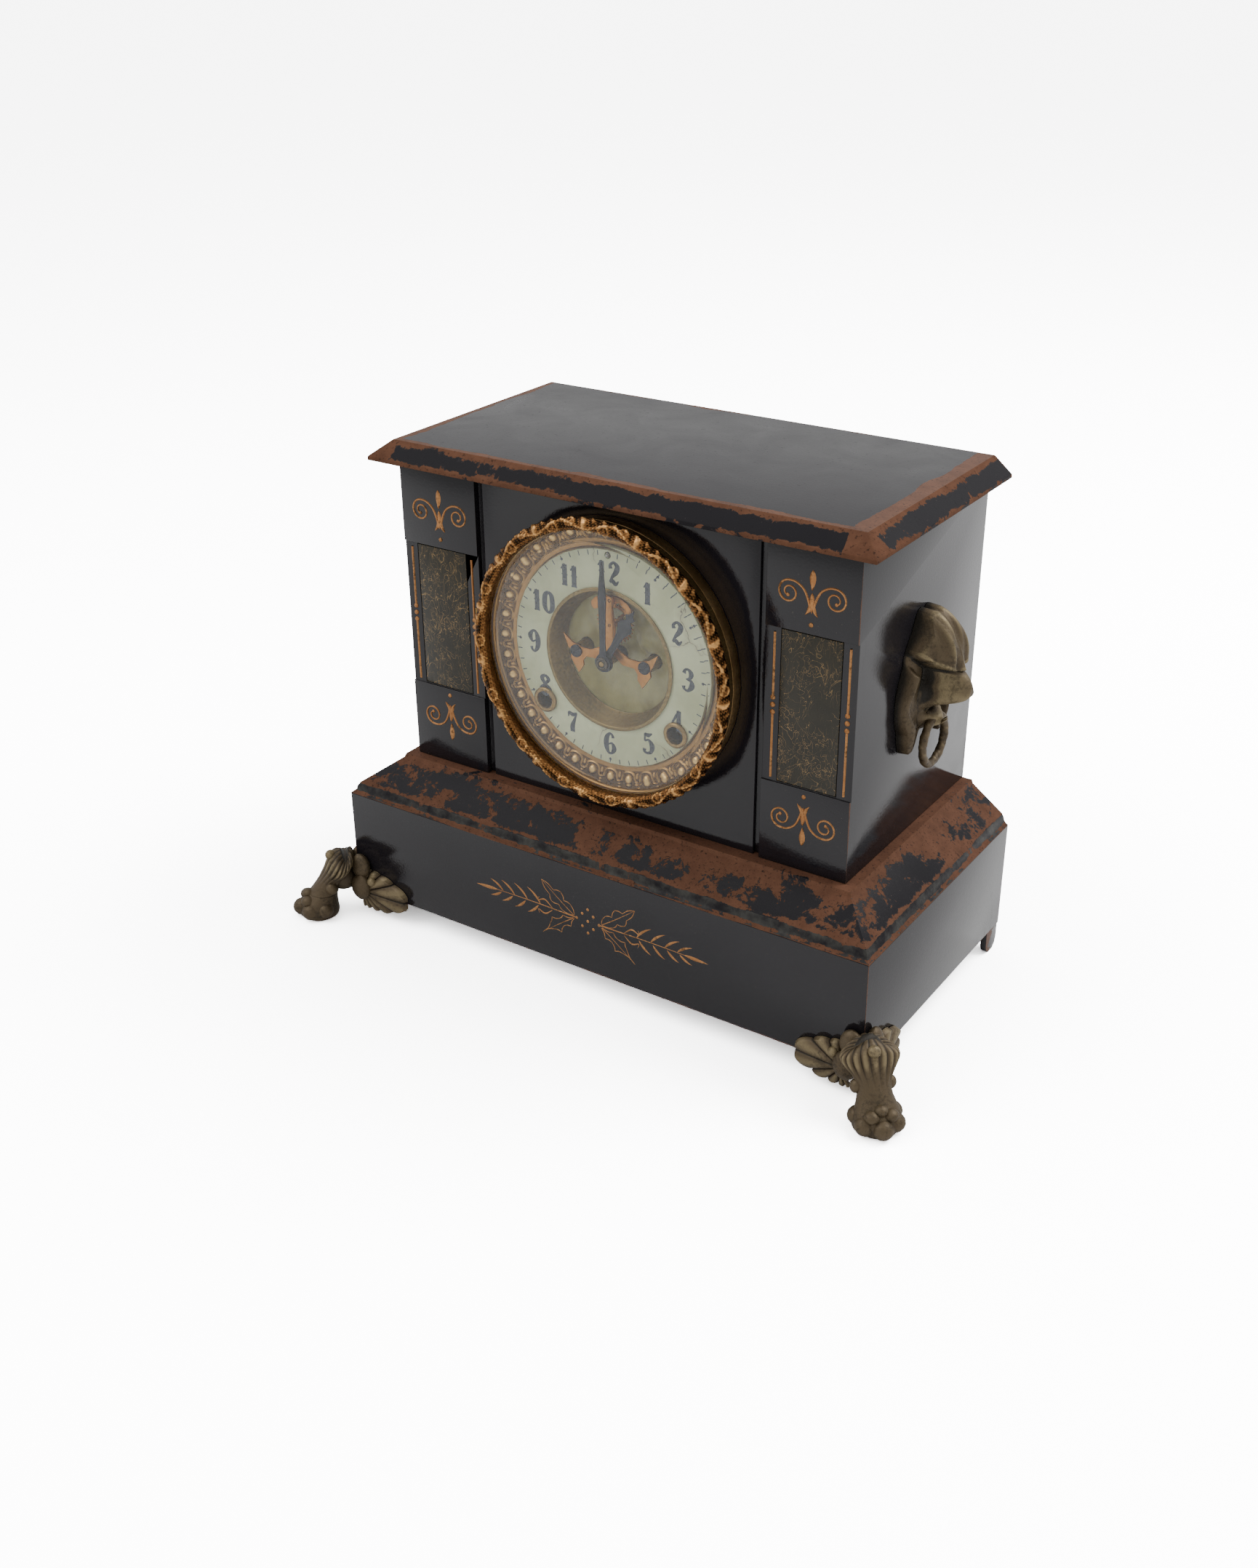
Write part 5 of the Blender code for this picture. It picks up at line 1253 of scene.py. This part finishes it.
@dataclass
class LionMask:
    """Lion mask with a leafy mane and a ring in its mouth."""

    wall: float = 140.3
    middle: tuple[float, float] = (71.0, 190.0)
    outline: tuple[Point, ...] = (
        (0.0, 37.4), (2.6, 39.4), (6.5, 39.0), (9.2, 35.5), (12.5, 29.0), (17.5, 22.5), (20.6, 17.2),
        (20.4, 13.4), (22.8, 8.6), (25.8, 1.0), (27.0, -8.0), (26.0, -17.0), (23.2, -23.5), (22.6, -29.0),
        (20.6, -34.5), (18.2, -36.3), (14.8, -33.5), (11.4, -26.8), (5.5, -25.0), (0.0, -24.6))

    def reach(self, angle: float) -> float:
        """Outline's distance from the middle."""
        turn = abs(atan2(sin(angle), cos(angle)))
        for (s0, z0), (s1, z1) in zip(self.outline, self.outline[1:]):
            low, high = atan2(s0, z0), atan2(s1, z1)
            if turn <= high + 1e-9:
                share = (turn - low) / (high - low)
                return hypot(s0, z0) + share * (hypot(s1, z1) - hypot(s0, z0))
        return hypot(*self.outline[-1])

    def hair(self, s: float, z: float) -> float:
        """Swept-back crest with a sharp lower edge over the brow."""
        over = z - 8.6 - 0.03 * s * s
        along = 1 - ((z - 13) / 27.6) ** 2
        if over <= 0 or along <= 0:
            return 0.0
        across = 1 - (s / (19.5 * sqrt(along) + 1.5)) ** 2
        if across <= 0:
            return 0.0
        fan = s / (1.0 + 0.012 * (38 - z))
        ribs = 1.4 * cos(0.62 * fan + 0.1 * z) + 0.35 * cos(1.5 * fan - 0.16 * z)
        flare = 1.6 * exp(-over / 2.5)
        return (23.6 * sqrt(along) * across ** 0.62 + ribs * across + flare) * min(1.0, 0.55 + over / 1.8)

    def height(self, y: float, z: float, share: float, angle: float) -> float:
        """How far the mask stands out of the wall.

        Args:
            y, z: Place on the wall, from the mask's middle.
            share: 0 at the middle to 1 at the outline.
            angle: Clockwise angle from straight up.

        Returns:
            The height above the wall.
        """
        s = abs(y)
        rise = (z + 1.5) / (17.0 if z > -1.5 else 9.2)
        narrow = sqrt(max(0.0, 1 - (s / (9.6 + 0.12 * (2 - z))) ** 2)) ** 0.8
        snout = 29.3 * sqrt(max(0.0, 1 - rise ** 2)) * narrow
        cheek = 17.0 * exp(-(max(0.0, s - 3.0) / 9.5) ** 2) * sqrt(max(0.0, 1 - ((z + 4) / 23) ** 2))
        chin = dome(s, z, 0, -20.5, 8.5, 5.2, 15.0)
        total = (snout ** 5 + cheek ** 5 + chin ** 5) ** 0.2
        total += bump(s, z, 10.5, 12.0, 6.0, 2.0, 2.0) - bump(s, z, 11.5, 5.6, 5.0, 4.8, 8.5)
        total += bump(s, z, 5.2, -5.4, 4.4, 3.6, 1.8)
        total -= bump(s, z, 0, -13.6, 7.8, 2.9, 12.0)
        total = max(total, self.hair(s, z))
        turn = abs(atan2(sin(angle), cos(angle)))
        if turn > 0.85:
            fade = min(1.0, (turn - 0.85) / 0.3)
            crest = 0.89 + 0.03 * sin(4.6 * turn + 0.6)
            high = fade * (9.0 - 0.8 * (turn - 0.85) + 1.1 * sin(6.0 * turn))
            total -= fade * 1.5 * exp(-((share - crest + 0.13) / 0.07) ** 2)
            roll = (share - crest) / (1.03 - crest if share > crest else 0.09)
            total = max(total, high * sqrt(1 - min(1.0, roll ** 2)))
        folds = 0.55 * sin(9 * turn + 6 * share) * max(0.0, min(1.0, (share - 0.5) * 4))
        total += folds * (1 - share ** 8)
        total = max(total, 1.6 + 4.2 * (1 - share ** 6))
        return min(total, 29.4)

    def surface(self) -> Shape:
        """Relief of the right-hand mask."""
        spokes, rings = 220, 72
        rows, marks = [], []
        cy, cz = self.middle
        for ring in range(rings + 1):
            share = ring / rings
            row, mark = [], []
            for k in range(spokes):
                angle = 2 * pi * k / spokes
                y, z = sin(angle) * self.reach(angle) * share, cos(angle) * self.reach(angle) * share
                h = self.height(y, z, share, angle) if ring < rings else 0.0
                # Painted light: points that stand above their neighbours get painted highlights, hollows
                # painted shade.
                around = [self.height(y + dy, z + dz, share, angle) for dy, dz in
                          ((1.8, 0), (-1.8, 0), (0, 1.8), (0, -1.8))]
                row.append((self.wall + h, cy + y, cz + z))
                mark.append(min(1.0, max(0.0, 0.5 + (h - sum(around) / 4) * 0.5)))
            rows.append(row)
            marks.append(mark)
        shape = Shape()
        shape.grid(rows, wrap=True, relief=marks)
        hook = smooth([(144.0, 163.5), (148.0, 165.4), (152.0, 166.2), (155.4, 168.2), (156.4, 171.0)], 6)
        tube = []
        for i, (x, z) in enumerate(hook):
            size = 2.0 if i < len(hook) - 3 else 1.4
            tube.append([(x + size * 0.9 * cos(2 * pi * k / 12), cy + size * sin(2 * pi * k / 12) * 1.1,
                          z + size * 0.55 * cos(2 * pi * k / 12)) for k in range(12)])
        shape.grid(tube, wrap=True)
        return shape

    def ring(self) -> Shape:
        """Cast ring with a hammered surface."""
        x, z = 151.0, 170.5
        shape, rows, marks = Shape(), [], []
        for k in range(96):
            a = 2 * pi * k / 96
            row, mark = [], []
            for j in range(16):
                b = 2 * pi * j / 16
                rough = sin(7 * a + 2 * b) + 0.8 * sin(16 * a - b) + 0.6 * sin(29 * a + 3 * b)
                wire = 2.2 + 0.11 * rough
                r = 13.1 + wire * cos(b)
                row.append((x + wire * sin(b), self.middle[0] + r * sin(a), z - 13.1 + r * cos(a)))
                # Painted light: raised hammer bumps a little lighter, dents a little darker.
                mark.append(0.5 + 0.13 * rough)
            rows.append(row)
            marks.append(mark)
        shape.grid(rows, wrap=True, loop=True, relief=marks)
        return shape

    def build(self) -> None:
        """Make both masks and rings."""
        mask, ring = self.surface(), self.ring()
        for side, turn in (("left", True), ("right", False)):
            face = mask.mirrored() if turn else mask
            loop = ring.mirrored() if turn else ring
            face.piece("lion_face_" + side, Finishes.spelter, "case", ("lion_mask_" + side,), 70)
            loop.piece("cast_ring_" + side, Finishes.spelter, "ring_" + side, ("mask_ring_" + side,), 70)


@dataclass
class Foot:
    """Paw foot with a fluted mantle and two shells on the plinth's corner."""

    corner: tuple[float, float] = (169.5, -29.5)
    gap: float = 0.3
    top: float = 43.0
    break_height: float = 15.0
    crack: float = 0.3
    flutes: int = 19
    rings: tuple[Point, ...] = (
        (0.0, 24.3, 9.6, 10.0), (0.8, 24.6, 11.4, 11.8), (3.0, 25.0, 12.4, 12.8), (6.5, 25.0, 12.2, 12.7),
        (10.0, 24.2, 11.0, 11.8), (13.0, 22.8, 9.6, 10.6), (15.0, 21.6, 9.0, 9.8), (17.0, 20.4, 8.5, 9.1),
        (20.0, 18.6, 8.0, 8.8), (23.0, 16.6, 7.7, 9.3), (26.0, 14.7, 7.6, 10.6), (30.0, 12.4, 7.6, 12.8),
        (34.0, 10.6, 7.6, 14.6), (38.0, 9.2, 7.0, 15.0), (41.0, 7.8, 5.4, 12.4), (42.3, 7.0, 3.0, 8.0))

    def at(self, along: float, across: float, z: float) -> Point:
        """Point out from the corner and sideways, as x, y, z."""
        x, y = self.corner
        return (x + (along + across) / sqrt(2), y - (along - across) / sqrt(2), z)

    def out_of_plinth(self, x: float, y: float) -> tuple[float, float]:
        """Move a point that is inside the plinth out to its nearer face."""
        cx, cy = self.corner[0] + self.gap, self.corner[1] - self.gap
        if x < cx and y > cy:
            return (cx, y) if cx - x < y - cy else (x, cy)
        return x, y

    def leg(self, low: float, high: float) -> Shape:
        """Paw and fluted mantle.

        Args:
            low, high: Heights that it lies between.

        Returns:
            The closed shape.
        """
        levels = [r for r in smooth(self.rings, 6) if low <= r[0] <= high]
        wide, rows, marks = 180, [], []
        for z, reach, out, tangent in levels:
            row, mark = [], []
            for k in range(wide):
                turn = 2 * pi * k / wide
                side = atan2(sin(turn), cos(turn))
                paw = max(0.0, 1 - abs(z - 5.5) / 10.5)
                toes = abs(cos(2.3 * side)) ** 0.55 if abs(side) < 2.0 else 0.5
                rise = min(1.0, max(0.0, (z - 21) / 12))
                flute = abs(cos(self.flutes * side / 2)) ** 0.8 * rise * (1 - 0.6 * max(0.0, z - 38) / 4.3)
                grow = 1 + paw * 0.1 * (toes - 0.9)
                swell = 1.3 * (flute - 0.6 * rise)
                r_out, r_tan = out * grow + swell, tangent * grow + swell
                x, y, _ = self.at(reach + r_out * cos(turn), r_tan * sin(turn), z)
                x, y = self.out_of_plinth(x, y)
                drop = 5.5 * sin(side) ** 2 * max(0.0, z - 26) / 16
                row.append((x, y, z - drop + 0.5 * flute * max(0.0, z - 38) / 4.3))
                shade = 0.5 * (1 - rise) - 0.2 * paw + rise * (0.05 + 0.85 * flute)
                mark.append(min(1.0, shade))
            rows.append(row)
            marks.append(mark)
        shape = Shape()
        shape.grid(rows, wrap=True, relief=marks)
        shape.add(rows[0], [tuple(range(wide))], marks[0])
        shape.add(rows[-1], [tuple(reversed(range(wide)))], marks[-1])
        return shape

    def claws(self, shape: Shape) -> None:
        """Toes and knuckles of the paw."""
        for turn, reach, z, size in ((-0.95, 9.2, 5.6, 5.5), (0.0, 10.2, 5.6, 5.6), (0.95, 9.2, 5.6, 5.5),
                                     (-0.62, 8.0, 11.2, 4.3), (0.62, 8.0, 11.2, 4.3), (0.0, 6.0, 14.2, 3.6),
                                     (-1.9, 9.4, 6.4, 5.2), (1.9, 9.4, 6.4, 5.2)):
            x, y, _ = self.at(24.8 + reach * cos(turn), reach * sin(turn) * 1.04, z)
            shape.ball((x, y, z), (size, size, size * (0.95 if z < 9 else 0.8)), 0.55)

    def bosses(self, shape: Shape) -> None:
        """Crest ball, and the scroll balls beside the neck."""
        # Relief values of these balls paint light and shade: the crest ball lightest, the large neck ball
        # darkest.
        x, y, _ = self.at(15.4, 0.0, 39.4)
        shape.ball((x, y, 38.8), (3.4, 3.4, 3.2), 0.9)
        for side in (-1, 1):
            x, y, _ = self.at(16.6, side * 8.6, 20.4)
            shape.ball((x, y, 20.4), (3.6, 3.6, 4.0), 0.6)
        x, y, _ = self.at(9.0, 0.0, 23.0)
        shape.ball((x, y, 23.0), (8.6, 8.6, 7.4), 0.3)

    def shell(self, on_side: bool) -> Shape:
        """Scalloped shell.

        Args:
            on_side: True for the plinth's side, False for its front.

        Returns:
            The shell with its curls.
        """
        flutes, rings, steps = 10, 26, 140
        start, end = radians(-128), radians(128)
        rows, marks = [], []
        for ring in range(rings + 1):
            share = ring / rings
            row, mark = [], []
            for k in range(steps + 1):
                angle = start + (end - start) * k / steps
                wave = abs(sin(flutes * (k / steps) * pi)) ** 0.6
                size = 1 / sqrt((cos(angle) / 31.0) ** 2 + (sin(angle) / 13.4) ** 2)
                size *= 1 - 0.09 * (1 - wave) * share
                along = 12.0 + size * share * cos(angle) * (1.0 if cos(angle) > 0 else 0.5)
                z = 17.6 + size * share * sin(angle) - 0.06 * (along - 12)
                lift = 5.4 - 3.0 * share ** 2 + 1.5 * (wave - 0.6) * min(1.0, share * 2.5)
                lift = max(lift, 0.8) if ring < rings else 0.0
                if on_side:
                    row.append((self.corner[0] + self.gap + lift, self.corner[1] + along - 3, z))
                else:
                    row.append((self.corner[0] - along + 3, self.corner[1] - self.gap - lift, z))
                # Painted light: the shell's ridges get painted highlights and its grooves painted shade; the
                # middle is lighter.
                mark.append(min(1.0, 0.05 + 0.8 * wave * min(1.0, share * 2) + 0.3 * (share < 0.12)))
            rows.append(row)
            marks.append(mark)
        shape = Shape()
        shape.grid(rows, relief=marks)
        for away, along, z, out, wide, tall, shade in (
                (4.6, 14.5, 25.0, 2.6, 2.8, 2.8, 0.9), (5.6, 7.0, 20.0, 4.6, 7.0, 8.5, 0.45),
                (3.0, 5.5, 32.0, 4.2, 6.5, 8.5, 0.55)):
            x, y = self.corner
            if on_side:
                shape.ball((x + away, y + along, z), (out, wide, tall), shade)
            else:
                shape.ball((x - along, y - away, z), (wide, out, tall), shade)
        return shape

    def build(self) -> None:
        """Make both feet and the paw that broke off."""
        shells = self.shell(False).join(self.shell(True))
        right = self.leg(0.0, self.top).join(shells)
        self.claws(right)
        self.bosses(shells)
        self.bosses(right)
        right.piece("winged_foot_right", Finishes.spelter, "case", ("foot_front_right",), 60)
        left = self.leg(self.break_height + self.crack, self.top).join(shells).mirrored()
        left.piece("winged_foot_left", Finishes.spelter, "case", ("foot_front_left",), 60)
        paw = self.leg(0.0, self.break_height)
        self.claws(paw)
        paw = paw.mirrored()
        paw.piece("loose_paw_left", Finishes.spelter, "case", ("paw_front_left",), 60)


@dataclass
class Movement:
    """Hands, escapement, wheels and everything behind the dial."""

    rounded: tuple[tuple[str, str, Finish, float], ...] = (
        ("hour_hand", "hour", Finishes.blued, 0.14), ("minute_hand", "minute", Finishes.blued, 0.14),
        ("hand_nut", "minute", Finishes.nut, 0.12), ("escapement_bridge", "case", Finishes.bridge, 0.2),
        ("escape_wheel", "escape", Finishes.bridge, 0.04), ("pallet_anchor", "anchor", Finishes.bridge, 0.08))

    def cover(self) -> None:
        """Pressed back cover with its hinge strap."""
        shape = Shape()
        shape.turned([(0.05, 141.2), (20.0, 141.2), (50.0, 141.05), (52.4, 140.8), (55.0, 139.9),
                      (56.8, 139.5), (65.6, 139.5), (66.0, 139.2), (66.0, 138.6), (55.6, 138.7),
                      (51.6, 140.0), (0.05, 140.3)], 112, (0.0, 187.0))
        shape.barrel(-70.5, 140.6, ((1.1, 178.8), (1.7, 178.9), (1.7, 195.1), (1.1, 195.2)))
        strap = [[(a, b, z) for a, b in ((-69.9, 138.7), (-56.5, 138.7), (-56.5, 139.65), (-69.9, 139.65))]
                 for z in (179.0, 195.0)]
        shape.grid(strap, wrap=True)
        shape.piece("pressed_cover", Finishes.tin, "cover", ("back_cover",), 30)

    def build(self) -> None:
        """Make the round pieces and dress the CAD nodes that stay."""
        for node, body, finish, width in self.rounded:
            softened(node, finish, body, width)
        self.cover()
        finishes = {slot.value: finish for slot, finish in Finishes.by_slot.items()}
        slots = {entry["node"]: entry["material_slot"] for entry in frame["record"]["subparts"]}
        for name, node in frame["nodes"].items():
            if not node.hide_render:
                for entry in node.material_slots:
                    entry.material = finishes[slots[name]].material()


@dataclass
class Studio:
    """Pale floor, soft lights and the camera."""

    floor_half: float = 60.0
    floor_paint: float = 0.82       # what the floor throws back onto the clock
    floor_shown: float = 9.0        # what the camera sees of the floor
    sky: float = 0.8
    aim: Point = (0.0, 0.0, 0.15)
    lens: float = 39.73
    place: Point = (472.5, -686.2, 549.3)
    turn: Point = (1.09449, 0.00815, 0.59071)

    def floor(self) -> None:
        """Wide floor that looks white but throws back only a soft pale light."""
        mesh, far = bpy.data.meshes.new("studio_floor"), self.floor_half
        mesh.from_pydata([(-far, -far, 0), (far, -far, 0), (far, far, 0), (-far, far, 0)], [],
                         [(0, 1, 2, 3)])
        floor = bpy.data.objects.new("studio_floor", mesh)
        bpy.context.scene.collection.objects.link(floor)
        paint = bpy.data.materials.new("pale floor")
        paint.use_nodes = True
        paint.node_tree.nodes.clear()
        g = Graph(paint.node_tree)
        plain = g.node("BsdfDiffuse", {"Color": _rgba((self.floor_paint,) * 3)})
        shown = g.node("BsdfDiffuse", {"Color": _rgba((self.floor_shown,) * 3)})
        both = g.node("MixShader", {0: g.node("LightPath", out="Is Camera Ray"), 1: plain, 2: shown})
        g.node("OutputMaterial", {"Surface": both}, None)
        mesh.materials.append(paint)

    def lights(self) -> None:
        """Even surroundings, a soft key lamp behind on the right and a weak fill."""
        world = bpy.data.worlds.new("studio")
        world.use_nodes = True
        feed(world.node_tree, world.node_tree.nodes["Background"],
             {"Color": (1, 1, 1, 1), "Strength": self.sky})
        bpy.context.scene.world = world
        for name, place, size, power in (("key", (1.0, 0.9, 1.7), 1.3, 34.0),
                                         ("fill", (-0.9, -0.8, 1.5), 1.4, 14.0)):
            lamp = bpy.data.lights.new(name, "AREA")
            lamp.size = size
            lamp.energy = power
            holder = bpy.data.objects.new(name, lamp)
            holder.location = place
            look = Vector(self.aim) - Vector(place)
            holder.rotation_euler = look.to_track_quat("-Z", "Y").to_euler()
            bpy.context.scene.collection.objects.link(holder)

    def camera(self) -> None:
        """Camera at three-quarter height to the right."""
        lens = bpy.data.cameras.new("camera")
        lens.lens = self.lens
        lens.sensor_width = 36.0
        lens.clip_start = 0.01
        camera = bpy.data.objects.new("camera", lens)
        camera.location = mm(*self.place)
        camera.rotation_euler = Euler(self.turn, "XYZ")
        bpy.context.scene.collection.objects.link(camera)
        bpy.context.scene.camera = camera

    def build(self) -> None:
        """Make the studio."""
        self.floor()
        self.lights()
        self.camera()


def main() -> None:
    """Build the clock's looks."""
    logging.basicConfig(level=logging.INFO, format="%(message)s")
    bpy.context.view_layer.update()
    for part in (Case(), Dial(), Door(), LionMask(), Foot(), Movement(), Studio()):
        LOG.info("building %s", type(part).__name__)
        part.build()


if __name__ == "__main__":
    main()
